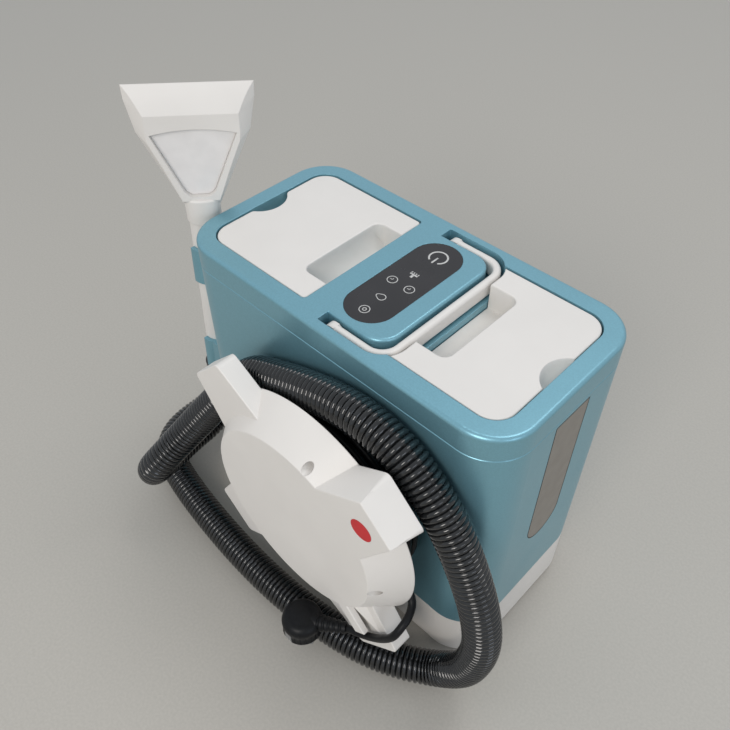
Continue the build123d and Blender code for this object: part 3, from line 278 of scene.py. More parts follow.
class WasherColours(bpy.types.PropertyGroup):
    """Colours of the finishes."""

    teal: colour("Teal", "#7eafbe", "Body shell and top frame")
    white: colour("Warm white", "#dfdbd6", "Lids, base, cap, wand and nozzle")
    panel: colour("Panel black", "#2b2a2c", "Touch panel")
    mark: colour("Panel marks", "#c9c8c6", "Marks printed on the touch panel")
    hose: colour("Hose", "#111213", "Ribbed suction hose and its cuffs")
    # The cord's colour also darkens the strip of painted shade in the level window's gap
    cord: colour("Cord", "#101113", "Mains cord, plug and rubber")
    red: colour("Red", "#c41f27", "Marker on the winder cap")
    window: colour("Level window", "#857f77", "Smoky window over the water level")
    cover: colour("Nozzle cover", "#efecea", "Clear cover on the nozzle head")
    tank: colour("Tank", "#b9bec2", "Water tanks")
    grey: colour("Works grey", "#6f757a", "Chassis and inner works")
    floor: colour("Floor", "#b4b0a8", "Studio floor")


def sizes():
    """The sizes as the user has set them."""
    return bpy.context.scene.washer_sizes


def colours():
    """The colours as the user has set them."""
    return bpy.context.scene.washer_colours


# Meshes from arrays
def grid_faces(rows, columns, wrap_columns, start):
    """Four-cornered faces between neighbouring points of a grid."""
    i = np.arange(rows - 1)
    j = np.arange(columns if wrap_columns else columns - 1)
    i, j = np.meshgrid(i, j, indexing="ij")
    i2, j2 = i + 1, (j + 1) % columns
    quads = np.stack([i * columns + j, i * columns + j2, i2 * columns + j2, i2 * columns + j], -1)
    return (quads.reshape(-1, 4) + start).tolist()


class Shell:
    """Gathers grids of points and flat faces into one mesh."""

    merge_distance = 1e-6

    def __init__(self):
        self.points = []
        self.faces = []
        self.count = 0

    def grid(self, points, wrap_columns=False):
        """Adds a surface from an array of rows, columns and coordinates."""
        rows, columns = points.shape[:2]
        self.faces += grid_faces(rows, columns, wrap_columns, self.count)
        self.points.append(points.reshape(-1, 3))
        self.count += rows * columns

    def face(self, ring):
        """Adds one flat face from a closed row of points."""
        self.faces.append(list(range(self.count, self.count + len(ring))))
        self.points.append(np.asarray(ring, float))
        self.count += len(ring)

    def tube(self, rings):
        """Adds a tube from its rings of points, with a flat face at both ends."""
        self.grid(rings, wrap_columns=True)
        self.face(rings[0][::-1])
        self.face(rings[-1])

    def solid(self, mesh, reshape):
        """Adds a copy of a mesh's faces, with its points in millimetres changed by a function."""
        points = np.empty(3 * len(mesh.vertices))
        mesh.vertices.foreach_get("co", points)
        self.faces += [[corner + self.count for corner in face.vertices] for face in mesh.polygons]
        self.points.append(reshape(points.reshape(-1, 3) / MM))
        self.count += len(mesh.vertices)

    def piece(self, name, skin, sharp_angle=40.0, outward=True):
        """Makes the object, in metres, with its doubles merged and its faces turned outwards."""
        mesh = bpy.data.meshes.new(name)
        mesh.from_pydata((np.concatenate(self.points) * MM).tolist(), [], self.faces)
        made = bpy.data.objects.new(name, mesh)
        bpy.context.scene.collection.objects.link(made)
        bpy.ops.object.select_all(action="DESELECT")
        made.select_set(True)
        bpy.context.view_layer.objects.active = made
        bpy.ops.object.mode_set(mode="EDIT")
        bpy.ops.mesh.select_all(action="SELECT")
        bpy.ops.mesh.remove_doubles(threshold=self.merge_distance)
        if outward:
            bpy.ops.mesh.normals_make_consistent(inside=False)
        bpy.ops.object.mode_set(mode="OBJECT")
        mesh.polygons.foreach_set("use_smooth", [True] * len(mesh.polygons))
        mesh.set_sharp_from_angle(angle=math.radians(sharp_angle))
        mesh.materials.append(skin)
        made.select_set(False)
        return made


def resample(points, count):
    """So many points at even distances along a line of points."""
    lengths = np.linalg.norm(np.diff(points, axis=0), axis=1)
    along = np.concatenate([[0.0], np.cumsum(lengths)])
    wanted = np.linspace(0.0, along[-1], count)
    return np.stack([np.interp(wanted, along, points[:, k]) for k in range(3)], -1)


def ring_frames(path):
    """Two directions square to a path at each point, turned as little as possible along it."""
    ways = np.gradient(path, axis=0)
    ways /= np.linalg.norm(ways, axis=1)[:, None]
    first = np.cross(ways[0], (0.0, 0.0, 1.0))
    # A path that starts nearly upright is crossed with +X instead
    if np.linalg.norm(first) < UPRIGHT_SINE:
        first = np.cross(ways[0], (1.0, 0.0, 0.0))
    across = np.empty_like(path)
    current = first / np.linalg.norm(first)
    for index, way in enumerate(ways):
        current = current - way * current.dot(way)
        current /= np.linalg.norm(current)
        across[index] = current
    return across, np.cross(ways, across)


def tube_points(path, radii, sides):
    """A round tube: at each point of the path a ring, which is the radius times the cosine and the sine
    of an angle, along two directions square to the path."""
    across, up = ring_frames(path)
    turn = np.linspace(0, 2 * np.pi, sides, endpoint=False)
    cosine, sine = np.cos(turn)[None, :, None], np.sin(turn)[None, :, None]
    rings = cosine * across[:, None] + sine * up[:, None]
    return path[:, None] + np.asarray(radii)[:, None, None] * rings


def route_curve(name, points):
    """A smooth line with the route's points as its control points."""
    data = bpy.data.curves.new(name, "CURVE")
    data.dimensions = "3D"
    data.resolution_u = 16
    spline = data.splines.new("NURBS")
    spline.points.add(len(points) - 1)
    flat = np.ones((len(points), 4))
    flat[:, :3] = np.array(points) * MM
    spline.points.foreach_set("co", flat.ravel())
    spline.order_u = 3
    spline.use_endpoint_u = True
    made = bpy.data.objects.new(name, data)
    bpy.context.scene.collection.objects.link(made)
    return made


def route_line(points):
    """The points of a route's smooth line, in millimetres."""
    curve = route_curve("route", points)
    bpy.context.view_layer.update()
    mesh = bpy.data.meshes.new_from_object(curve)
    line = np.zeros(len(mesh.vertices) * 3)
    mesh.vertices.foreach_get("co", line)
    bpy.data.meshes.remove(mesh)
    bpy.data.objects.remove(curve)
    return line.reshape(-1, 3) / MM


def seat(piece, body, slot, *nodes):
    """The piece rides on its body and stands for these nodes; the slot is not used."""
    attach(piece, body)
    if nodes:
        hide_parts(*nodes)
    return piece


def ink(piece):
    """Gives a flat piece the thickness of a coat of ink."""
    coat = piece.modifiers.new("ink", "SOLIDIFY")
    coat.thickness = INK * MM
    coat.offset = 1.0


# Finishes
def dress(tree, node, values=None, links=None):
    """Sets the values of a node's inputs, and links its inputs."""
    for name, value in (values or {}).items():
        node.inputs[name].default_value = value
    for name, socket in (links or {}).items():
        tree.links.new(socket, node.inputs[name])


def add_node(tree, kind, values=None, links=None, **settings):
    """Adds a node with its settings, input values and links."""
    made = tree.nodes.new(kind)
    for name, value in settings.items():
        setattr(made, name, value)
    dress(tree, made, values, links)
    return made


def finish(recipe):
    """Turns a recipe into a function that makes its material once, and names it for the recipe.

    A recipe takes the node tree and the object's own coordinates, and gives the shader's values
    and links."""

    @wraps(recipe)
    def make():
        made = bpy.data.materials.get(recipe.__name__)
        if made is None:
            made = bpy.data.materials.new(recipe.__name__)
            made.use_nodes = True
            tree = made.node_tree
            tree.nodes.clear()
            shader = add_node(tree, "ShaderNodeBsdfPrincipled")
            add_node(tree, "ShaderNodeOutputMaterial", links={"Surface": shader.outputs["BSDF"]})
            place = add_node(tree, "ShaderNodeTexCoord").outputs["Object"]
            dress(tree, shader, *recipe(tree, place))
        return made

    return make


def per_mm(millimetres):
    """The texture scale at which a pattern repeats after this many millimetres."""
    return 1.0 / (millimetres * MM)


def tint(tree, place, base, grain_mm, low, high, detail=2.0):
    """A colour that wavers between two shades of the base, with patches of a given size."""
    noise = add_node(
        tree, "ShaderNodeTexNoise", {"Scale": per_mm(grain_mm), "Detail": detail}, {"Vector": place}
    )
    ramp = add_node(tree, "ShaderNodeValToRGB", links={"Fac": noise.outputs["Fac"]})
    for element, share, position in zip(ramp.color_ramp.elements, (low, high), TINT_SPAN):
        element.color = tuple(min(1.0, part * share) for part in base[:3]) + (1.0,)
        element.position = position
    return ramp.outputs["Color"]


def grain(tree, place, grain_mm, strength, height_mm, rounding=0.0):
    """A moulded skin: bumps of a given width and height over edges that are slightly rounded."""
    # Real moulded grain is a quarter of these widths or less, and is drawn coarser so that it shows
    noise = add_node(
        tree, "ShaderNodeTexNoise", {"Scale": per_mm(grain_mm), "Detail": 3.0}, {"Vector": place}
    )
    bump = add_node(
        tree,
        "ShaderNodeBump",
        {"Strength": strength, "Distance": height_mm * MM},
        {"Height": noise.outputs["Fac"]},
    )
    if rounding:
        edge = add_node(tree, "ShaderNodeBevel", {"Radius": rounding}, samples=6)
        dress(tree, bump, links={"Normal": edge.outputs["Normal"]})
    return bump.outputs["Normal"]


def wear(tree, place, base, spread_mm, low, high):
    """A roughness that drifts over broad patches, as handling leaves it."""
    noise = add_node(
        tree, "ShaderNodeTexNoise", {"Scale": per_mm(spread_mm), "Detail": 4.0}, {"Vector": place}
    )
    mapped = add_node(
        tree,
        "ShaderNodeMapRange",
        {
            "From Min": WEAR_SPAN[0],
            "From Max": WEAR_SPAN[1],
            "To Min": base - low,
            "To Max": base + high,
        },
        {"Value": noise.outputs["Fac"]},
    )
    return mapped.outputs["Result"]


@finish
def metallic_teal_abs(tree, place):
    """Moulded ABS with metal flake: a satin skin whose flakes glint a little lighter and darker."""
    # Real flake is under 0.1 mm wide, and is drawn at 1.2 mm so that it shows
    return {"Metallic": 0.65, "Coat Weight": 0.12, "Coat Roughness": 0.2}, {
        "Base Color": tint(tree, place, colours().teal, 1.2, 0.965, 1.035, detail=1.0),
        "Roughness": wear(tree, place, 0.36, 60.0, 0.03, 0.04),
        "Normal": grain(tree, place, 0.9, 0.03, 0.05, sizes().edge_round),
    }


@finish
def warm_white_abs(tree, place):
    """Moulded white ABS: a smooth satin skin, a trace warm, very slightly uneven in tone."""
    return {"IOR": 1.53}, {
        "Base Color": tint(tree, place, colours().white, 45.0, 0.985, 1.01),
        "Roughness": wear(tree, place, 0.42, 35.0, 0.04, 0.05),
        "Normal": grain(tree, place, 0.8, 0.05, 0.05, sizes().edge_round),
    }


@finish
def black_acrylic(tree, place):
    """The printed acrylic of a touch panel: smooth, dark and softly reflecting."""
    return {"IOR": 1.49}, {
        "Base Color": tint(tree, place, colours().panel, 30.0, 0.92, 1.08),
        "Roughness": wear(tree, place, 0.24, 25.0, 0.04, 0.06),
    }


@finish
def panel_print(tree, place):
    """Light grey screen print: thin, matt ink with a trace of grain."""
    # The ink's grain is drawn at 1 mm, coarser than it is, so that it shows
    return {"Roughness": 0.55}, {"Base Color": tint(tree, place, colours().mark, 1.0, 0.94, 1.03)}


@finish
def smoky_acrylic(tree, place):
    """The level window: brown-grey acrylic, nearly opaque, with a satin face."""
    return {"Specular IOR Level": 0.35, "IOR": 1.49}, {
        "Base Color": tint(tree, place, colours().window, 6.0, 0.94, 1.05),
        "Roughness": wear(tree, place, 0.42, 12.0, 0.04, 0.05),
    }


@finish
def clear_polycarbonate(tree, place):
    """The nozzle's clear cover: the white behind it shows through a glossy, faintly uneven face."""
    return {"Transmission Weight": 0.12, "IOR": 1.58}, {
        "Base Color": tint(tree, place, colours().cover, 15.0, 0.97, 1.02),
        "Roughness": wear(tree, place, 0.16, 9.0, 0.03, 0.05),
    }


@finish
def tank_polypropylene(tree, place):
    """Blow-moulded polypropylene: milky, soft sheen, faint cloudiness."""
    milky = {"Subsurface Weight": 0.08, "Subsurface Radius": (0.004, 0.004, 0.004)}
    return {"Roughness": 0.38, **milky}, {
        "Base Color": tint(tree, place, colours().tank, 18.0, 0.98, 1.02),
        "Normal": grain(tree, place, 1.5, 0.08, 0.06),
    }


@finish
def black_pvc_and_gap_shade(tree, place):
    """Soft PVC and rubber: nearly black, satin, with a fine skin. It also colours the strip of painted
    shade in the level window's gap.
    """
    return {"Specular IOR Level": 0.2}, {
        "Base Color": tint(tree, place, colours().cord, 3.0, 0.85, 1.2),
        "Roughness": wear(tree, place, 0.4, 9.0, 0.05, 0.06),
        "Normal": grain(tree, place, 0.7, 0.1, 0.05),
    }


@finish
def dark_hose_plastic(tree, place):
    """Blow-moulded polyethylene hose: nearly black and glossy, with a clear glint on each rib from its
    coat; its base colour holds painted shade in the valleys and painted light on the crests."""
    skin = tint(tree, place, colours().hose, 6.0, 0.75, 1.35)
    form = add_node(tree, "ShaderNodeNewGeometry")
    # Painted shade and light: the base colour is scaled by how pointed the surface is, darker in the ribs'
    # valleys and lighter on their crests
    crest = add_node(
        tree,
        "ShaderNodeMapRange",
        {"From Min": 0.40, "From Max": 0.56, "To Min": 0.12, "To Max": 1.8},
        {"Value": form.outputs["Pointiness"]},
    )
    shade = add_node(
        tree,
        "ShaderNodeVectorMath",
        links={"Vector": skin, "Scale": crest.outputs["Result"]},
        operation="SCALE",
    )
    gloss = {"IOR": 1.54, "Specular IOR Level": 0.12, "Coat Weight": 1.0, "Coat Roughness": 0.07}
    return gloss, {
        "Base Color": shade.outputs["Vector"],
        "Roughness": wear(tree, place, 0.14, 14.0, 0.03, 0.05),
        "Normal": grain(tree, place, 1.6, 0.12, 0.08),
    }


@finish
def brushed_steel(tree, place):
    """Drawn steel: streaks along one direction, a mid grey with a clear shine."""
    # The tint's 2.5 mm become streaks 0.4 mm wide and 6 mm long, coarser than real ones so that they show
    drawn = add_node(tree, "ShaderNodeMapping", {"Scale": (6.0, 6.0, 0.4)}, {"Vector": place})
    streak = tint(tree, drawn.outputs["Vector"], linear("#b9bcc0"), 2.5, 0.9, 1.08)
    return {"Metallic": 1.0, "Roughness": 0.32}, {"Base Color": streak}


@finish
def works_plastic(tree, place):
    """Unpainted grey nylon of the inner works: matt, with a coarse moulded skin."""
    return {"Roughness": 0.6}, {
        "Base Color": tint(tree, place, colours().grey, 12.0, 0.93, 1.06),
        "Normal": grain(tree, place, 1.2, 0.15, 0.08),
    }


@finish
def painted_motor_can(tree, place):
    """Dark enamelled motor can: smooth paint with a slight orange peel."""
    return {"Metallic": 0.5, "Roughness": 0.4}, {
        "Base Color": tint(tree, place, linear("#5a5d62"), 15.0, 0.95, 1.05),
        "Normal": grain(tree, place, 2.0, 0.1, 0.05),
    }


@finish
def silicone_tube(tree, place):
    """Clear silicone water pipe: milky and soft."""
    milky = {"Subsurface Weight": 0.1, "Subsurface Radius": (0.003, 0.003, 0.003)}
    return {"Roughness": 0.35, **milky}, {
        "Base Color": tint(tree, place, linear("#b4b7b8"), 8.0, 0.95, 1.05)
    }


@finish
def circuit_laminate(tree, place):
    """Green solder mask on glass laminate, faintly uneven in tone."""
    return {"Roughness": 0.35}, {"Base Color": tint(tree, place, linear("#2f5c43"), 2.0, 0.9, 1.1)}


@finish
def red_abs(tree, place):
    """Gloss red ABS disc."""
    return {"Roughness": 0.35, "Specular IOR Level": 0.3}, {
        "Base Color": tint(tree, place, colours().red, 10.0, 0.96, 1.04),
        "Normal": grain(tree, place, 1.0, 0.05, 0.04),
    }


@finish
def pale_stone_floor(tree, place):
    """Pale stone floor: plain, with specks too faint to stand out."""
    return {"Roughness": 0.55}, {
        "Base Color": tint(tree, place, colours().floor, 2.5, 0.95, 1.02, detail=3.0)
    }


FINISHES = {
    "teal_plastic": metallic_teal_abs,
    "white_plastic": warm_white_abs,
    "black_panel": black_acrylic,
    "clear_plastic": clear_polycarbonate,
    "tank_plastic": tank_polypropylene,
    "black_rubber": black_pvc_and_gap_shade,
    "hose_plastic": dark_hose_plastic,
    "steel": brushed_steel,
    "motor_case": painted_motor_can,
    "grey_plastic": works_plastic,
    "soft_tube": silicone_tube,
    "circuit_board": circuit_laminate,
    "red_plastic": red_abs,
}
NODE_FINISHES = {"level_window": smoky_acrylic}


class WASHER_OT_stage(bpy.types.Operator):
    """Makes the floor, the lamps and the camera"""

    bl_idname = "washer.stage"
    bl_label = "Studio"

    def execute(self, context):
        scene = context.scene
        scene.view_settings.view_transform = "Standard"
        self.camera(scene)
        bpy.ops.mesh.primitive_plane_add(size=FLOOR_WIDTH, location=(0.0, 0.0, 0.0))
        floor = context.active_object
        floor.name = "floor"
        floor.data.materials.append(pale_stone_floor())
        world = bpy.data.worlds.new("studio")
        world.use_nodes = True
        sky = {"Color": linear(WORLD_COLOUR), "Strength": WORLD_STRENGTH}
        dress(world.node_tree, world.node_tree.nodes["Background"], sky)
        scene.world = world
        for lamp in LAMPS:
            self.lamp(scene, *lamp)
        return {"FINISHED"}

    def camera(self, scene):
        """The photograph's camera, its focal length turned from pixels to millimetres of the sensor."""
        data = bpy.data.cameras.new("camera")
        data.sensor_width = CAMERA_SENSOR
        data.lens = CAMERA_SENSOR * CAMERA_FOCAL_PIXELS / PHOTO_PIXELS
        data.clip_start = CAMERA_NEAR
        made = bpy.data.objects.new("camera", data)
        axes = np.eye(4)
        axes[:3, 0] = CAMERA_RIGHT
        axes[:3, 1] = -np.array(CAMERA_DOWN)
        axes[:3, 2] = -np.array(CAMERA_FORWARD)
        axes[:3, 3] = CAMERA_PLACE
        made.matrix_world = Matrix(axes.tolist())
        scene.collection.objects.link(made)
        scene.camera = made

    def lamp(self, scene, name, place, across, power, code):
        """A square soft box that faces the object's middle."""
        data = bpy.data.lights.new(name, "AREA")
        data.size = across
        data.energy = power
        data.color = linear(code)[:3]
        made = bpy.data.objects.new(name, data)
        made.location = place
        aim = Vector(LAMP_AIM) - Vector(place)
        made.rotation_euler = aim.to_track_quat("-Z", "Y").to_euler()
        scene.collection.objects.link(made)


class WASHER_OT_finishes(bpy.types.Operator):
    """Gives every piece of the frame the finish of its material slot"""

    bl_idname = "washer.finishes"
    bl_label = "Finishes"

    def execute(self, context):
        for part in frame["record"]["subparts"]:
            mesh = frame["nodes"][part["node"]].data
            mesh.materials.clear()
            make = NODE_FINISHES.get(part["node"], FINISHES[part["material_slot"]])
            mesh.materials.append(make())
        return {"FINISHED"}


def wand_point(level):
    """A point of the wand's axis, by its distance along the axis."""
    lean = math.radians(WAND_LEAN)
    x, y, z = WAND_PLACE
    return (x, y + level * math.sin(lean), z + level * math.cos(lean))


class WASHER_OT_suction_hose(bpy.types.Operator):
    """Makes the ribbed suction hose from the port to the foot of the wand"""

    bl_idname = "washer.suction_hose"
    bl_label = "Suction hose"

    samples_per_rib = 8
    sides = 28
    crest_power = 0.7
    # Metres beside the wand's foot, and the way to it
    slack = 0.035
    slack_way = (-1.0, 1.0, 1.0)

    def execute(self, context):
        foot = [wand_point(HOSE_END_LEVEL - HOSE_RISE), wand_point(HOSE_END_LEVEL)]
        line = route_line([HOSE_START] + HOSE_POINTS + foot)
        length = np.linalg.norm(np.diff(line, axis=0), axis=1).sum()
        ribs = round(length / (sizes().rib_pitch / MM))
        path = resample(line, ribs * self.samples_per_rib + 1)
        shell = Shell()
        shell.tube(tube_points(path, self.rib_radius(np.linspace(0, ribs, len(path))), self.sides))
        hose = shell.piece("suction_hose_ribbed", dark_hose_plastic(), sharp_angle=75.0)
        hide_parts("suction_hose")
        way = Vector(self.slack_way).normalized()
        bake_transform(hose)
        return {"FINISHED"}

    def rib_radius(self, turns):
        """Radius along the hose: the valley's, and on top of it for each rib the size of a sine to a power
        under one, which gives round crests and narrow valleys."""
        crest = np.abs(np.sin(np.pi * turns)) ** self.crest_power
        return (sizes().hose_valley + (sizes().hose_radius - sizes().hose_valley) * crest) / MM


def winding_points(radius, start_angle, total_angle):
    """Points of a screw line round the winder's axis, clockwise seen from the front.

    The smooth line beside a control point has three quarters of it and an eighth of both its neighbours,
    so the points stand out as far as that line runs inside them."""
    outside = radius / (0.75 + 0.25 * math.cos(2 * math.pi / POINTS_PER_TURN))
    angle = np.linspace(0.0, total_angle, round(total_angle / 360 * POINTS_PER_TURN) + 1)
    turn = np.radians(start_angle - angle)
    x = WINDER[0] + outside * np.cos(turn)
    z = WINDER[1] + outside * np.sin(turn)
    return np.stack([x, CORD_FIRST_Y - CORD_PITCH * angle / 360, z], -1)


def winding_way(angle):
    """The direction in which the winding runs at an angle on the winder."""
    turn = math.radians(angle)
    return np.array((math.sin(turn), 0.0, -math.cos(turn)))


class WASHER_OT_mains_cord(bpy.types.Operator):
    """Makes the wound mains cord with its loose tail, and the layer under it"""

    bl_idname = "washer.mains_cord"
    bl_label = "Mains cord"

    def execute(self, context):
        outer = winding_points(sizes().winding_radius / MM, CORD_START_ANGLE, CORD_TOTAL_ANGLE)
        lead = 2 * sizes().cord_radius / MM
        exit_point = outer[0] - winding_way(CORD_START_ANGLE) * lead
        way = winding_way(CORD_START_ANGLE - CORD_TOTAL_ANGLE)
        leads = [outer[-1] + way * lead, outer[-1] + way * (lead + TAIL_LEAD)]
        cord = self.tube("mains_cord", np.concatenate([[exit_point], outer, leads, TAIL_POINTS]))
        seat(cord, "base", "black_rubber", "mains_cord_winding", "mains_cord_tail")
        pieces = [frame["nodes"][name] for name in ("plug_pins", "plug_earth_contacts")]
        pieces.append(bpy.data.objects["mains_plug_moulded"])
        self.declare(cord, exit_point, "plug", with_pieces=pieces)

        core = winding_points(sizes().core_radius / MM, CORE_START_ANGLE, CORE_TOTAL_ANGLE)
        inner = self.tube("mains_cord_under_layer", core)
        seat(inner, "base", "black_rubber", "mains_cord_inner_layer")
        self.declare(inner, core[0], "object")
        return {"FINISHED"}

    def tube(self, name, points):
        """A round cord along the route's smooth line."""
        made = route_curve(name, points)
        made.data.bevel_depth = sizes().cord_radius
        made.data.bevel_resolution = 4
        made.data.resolution_u = 6
        made.data.use_fill_caps = True
        made.data.materials.append(black_pvc_and_gap_shade())
        return made

    def declare(self, curve, exit_point, far_end, **more):
        """Takes a curve, its exit point and its far end, and does nothing with them."""


class WASHER_OT_plug(bpy.types.Operator):
    """Makes the moulded earthed plug with its grip flutes and ribbed strain relief"""

    bl_idname = "washer.plug"
    bl_label = "Mains plug"

    # Points round and along the plug, and along and round its strain relief
    sides = 180
    grip_rows = 26
    shoulder_rows = 17
    crown_rows = 11
    relief_rings = 73
    relief_sides = 32
    # Millimetres of the turned profile, and of the flutes' depth and their distance from both ends
    chamfer = 0.8
    waist = 0.7
    shoulder = 8.0
    crown = 1.4
    flutes = 22
    flute_edge = 0.25
    flute_depth = 1.0
    flute_high = 11.5
    flute_high_fade = 3.0
    flute_low = 1.5
    # Keeps the flats' distance finite far from the contacts, where it isn't used
    least_sine = 0.3
    # The strain relief's radii at both ends, and its grooves
    relief_wide = 9.0
    relief_narrow = 5.0
    grooves = 7
    groove_depth = 1.1
    groove_span = (0.18, 0.96)

    def execute(self, context):
        shell = Shell()
        turn = np.linspace(0, 2 * np.pi, self.sides, endpoint=False)
        rings = self.body(turn, *self.profile())
        shell.grid(rings, wrap_columns=True)
        shell.face(rings[0][::-1])
        path = np.linspace(PLUG_RELIEF[0], PLUG_RELIEF[1], self.relief_rings)
        radii = self.relief_radius(np.linspace(0, 1, self.relief_rings))
        shell.tube(tube_points(path, radii, self.relief_sides))
        plug = shell.piece("mains_plug_moulded", black_pvc_and_gap_shade(), sharp_angle=50.0)
        seat(plug, "base", "black_rubber", "mains_plug")
        return {"FINISHED"}

    def profile(self):
        """Heights and radii from the pin side to the crown: a chamfer, a grip waisted by a squared sine,
        a quarter-round shoulder, and a crown that rises as one less the square of its radius."""
        wide = sizes().plug_radius / MM
        top = PLUG_HIGH - self.crown - self.shoulder
        grip = np.linspace(PLUG_LOW + self.chamfer, top, self.grip_rows)
        waist = wide - self.waist * np.sin(np.pi * (grip - grip[0]) / (grip[-1] - grip[0])) ** 2
        lean = np.linspace(0, np.pi / 2, self.shoulder_rows)[1:]
        shoulder_rise = top + self.shoulder * np.sin(lean)
        shoulder_radius = wide - self.shoulder + self.shoulder * np.cos(lean)
        share = np.linspace(1, 0, self.crown_rows)[1:]
        rise = np.concatenate([[PLUG_LOW], grip, shoulder_rise, PLUG_HIGH - self.crown * share**2])
        crown_radius = (wide - self.shoulder) * share
        return rise, np.concatenate([[wide - self.chamfer], waist, shoulder_radius, crown_radius])

    def body(self, turn, rise, radius):
        """The turned profile, with flutes cut in the grip by a clipped cosine of the angle round it, and
        flats behind the earth contacts."""
        wave = np.clip(np.cos(self.flutes * turn), self.flute_edge, 1.0) - self.flute_edge
        fade = np.clip((PLUG_HIGH - self.flute_high - rise) / self.flute_high_fade, 0.0, 1.0)
        fade = fade * np.clip((rise - PLUG_LOW - self.flute_low) / self.flute_low, 0.0, 1.0)
        reach = radius[:, None] - self.flute_depth * wave[None, :] * fade[:, None]
        across = np.abs(np.cos(turn)) * sizes().plug_radius / MM
        beside = (across < PLUG_CONTACT_HALF)[None, :]
        slot = beside & (rise < PLUG_LOW + PLUG_CONTACT_RISE)[:, None]
        flat = PLUG_CONTACT_REACH / np.maximum(np.abs(np.sin(turn)), self.least_sine)
        reach = np.where(slot, np.minimum(reach, flat[None, :]), reach)
        x = PLUG_PLACE[0] + reach * np.cos(turn)
        y = PLUG_PLACE[1] + reach * np.sin(turn)
        return np.stack([x, y, np.broadcast_to(rise[:, None], x.shape)], -1)

    def relief_radius(self, share):
        """A straight taper towards the cord, less a groove for each turn of a cosine: its root, where it
        is above zero."""
        taper = self.relief_wide + (self.relief_narrow - self.relief_wide) * share
        groove = np.clip(np.cos(2 * np.pi * self.grooves * share), 0.0, 1.0) ** 0.5
        start, end = self.groove_span
        return taper - self.groove_depth * groove * (share > start) * (share < end)


class WASHER_OT_valve_spring(bpy.types.Operator):
    """Makes the outlet valve's spring as one still coil; in the machine it shortens as the plunger rises
    """

    bl_idname = "washer.valve_spring"
    bl_label = "Valve spring"

    steps_per_turn = 24
    sides = 10

    def execute(self, context):
        path = self.coil(np.linspace(0, 1, self.steps_per_turn * SPRING_TURNS + 1))
        shell = Shell()
        shell.tube(tube_points(path, np.full(len(path), sizes().spring_wire / MM), self.sides))
        spring = shell.piece("valve_spring_coil", brushed_steel(), sharp_angle=60.0)
        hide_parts("valve_spring")
        ends = [tuple(np.array((*VALVE_PLACE, level)) * MM) for level in (SPRING_HIGH, SPRING_LOW)]
        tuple(ends[0])
        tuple(ends[1])
        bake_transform(spring)
        return {"FINISHED"}

    def coil(self, share):
        """A screw line: a circle round the axis that rises evenly with the angle."""
        turn = 2 * np.pi * SPRING_TURNS * share
        radius = sizes().spring_radius / MM
        x = VALVE_PLACE[0] + radius * np.cos(turn)
        y = VALVE_PLACE[1] + radius * np.sin(turn)
        return np.stack([x, y, SPRING_LOW + (SPRING_HIGH - SPRING_LOW) * share], -1)


class WASHER_OT_nozzle(bpy.types.Operator):
    """Makes the nozzle head with its deep front band, and the long clear cover with a round foot"""

    bl_idname = "washer.nozzle"
    bl_label = "Nozzle head"

    def execute(self, context):
        head = self.redraw("nozzle_head", "nozzle_head_moulded", warm_white_abs(), "white_plastic")
        self.level_faces(head)
        self.redraw("nozzle_cover", "nozzle_cover_clear", clear_polycarbonate(), "clear_plastic")
        return {"FINISHED"}

    def redraw(self, node, name, skin, slot):
        """A piece that stands for a node, from a copy of its solid with the front drawn anew."""
        shell = Shell()
        shell.solid(frame["nodes"][node].data, self.draw_front)
        return seat(shell.piece(name, skin, sharp_angle=25.0), "wand", slot, node)

    def level_faces(self, piece):
        """Joins the triangles of each flat face and keeps its long edges, for an even shade."""
        form = bmesh.new()
        form.from_mesh(piece.data)
        bmesh.ops.dissolve_limit(
            form, angle_limit=math.radians(FLAT_BEND), verts=form.verts, edges=form.edges
        )
        for edge in form.edges:
            above = min(corner.co.z for corner in edge.verts) > HEAD_COLLAR * MM
            if above and edge.is_manifold and edge.calc_length() > CREASE_LENGTH * MM:
                edge.smooth = edge.calc_face_angle() < math.radians(CREASE_BEND)
        form.to_mesh(piece.data)
        form.free()
        even = piece.modifiers.new("even_shading", "WEIGHTED_NORMAL")
        even.keep_sharp = True
        even.weight = 100

    def draw_front(self, points):
        """Points of the solid with the front drawn down and out: levels move by straight lines between
        rows, widths grow by straight lines from the middle to the cover's edge and on to the face's edge,
        and the foot of the cover sinks by a parabola across it. The back stays."""
        lean = Matrix.Rotation(-math.radians(WAND_LEAN), 3, "X")
        axes = np.array(lean @ Matrix.Rotation(math.radians(HEAD_TURN), 3, "Z"))
        across, back, level = ((points - WAND_PLACE) @ axes).T
        level = level - HEAD_TOP
        drawn = np.interp(level, *np.array(HEAD_LEVELS).T)
        rows, *widths = np.array(HEAD_WIDTHS).T
        cover, face, wide_cover, wide_face = (np.interp(level, rows, width) for width in widths)
        reach = np.abs(across)
        outer = wide_cover + (reach - cover) * (wide_face - wide_cover) / (face - cover)
        grown = np.where(reach < cover, reach * wide_cover / cover, outer)
        grown = np.where(reach > face, reach + wide_face - face, grown)
        foot = np.clip((FOOT_START - level) / (FOOT_START - FOOT_FULL), 0.0, 1.0)
        foot = foot * (level > FOOT_END) * np.clip(1 - (grown / FOOT_HALF) ** 2, 0.0, 1.0)
        drawn = drawn - FOOT_SINK * foot
        depth = np.where(reach < face - FACE_EDGE, FACE_DEPTH, SIDE_DEPTH)
        share = np.clip(-back / depth, 0.0, 1.0)
        across = across + share * (np.sign(across) * grown - across)
        level = level + share * (drawn - level) + HEAD_TOP
        return np.stack([across, back, level], -1) @ axes.T + WAND_PLACE


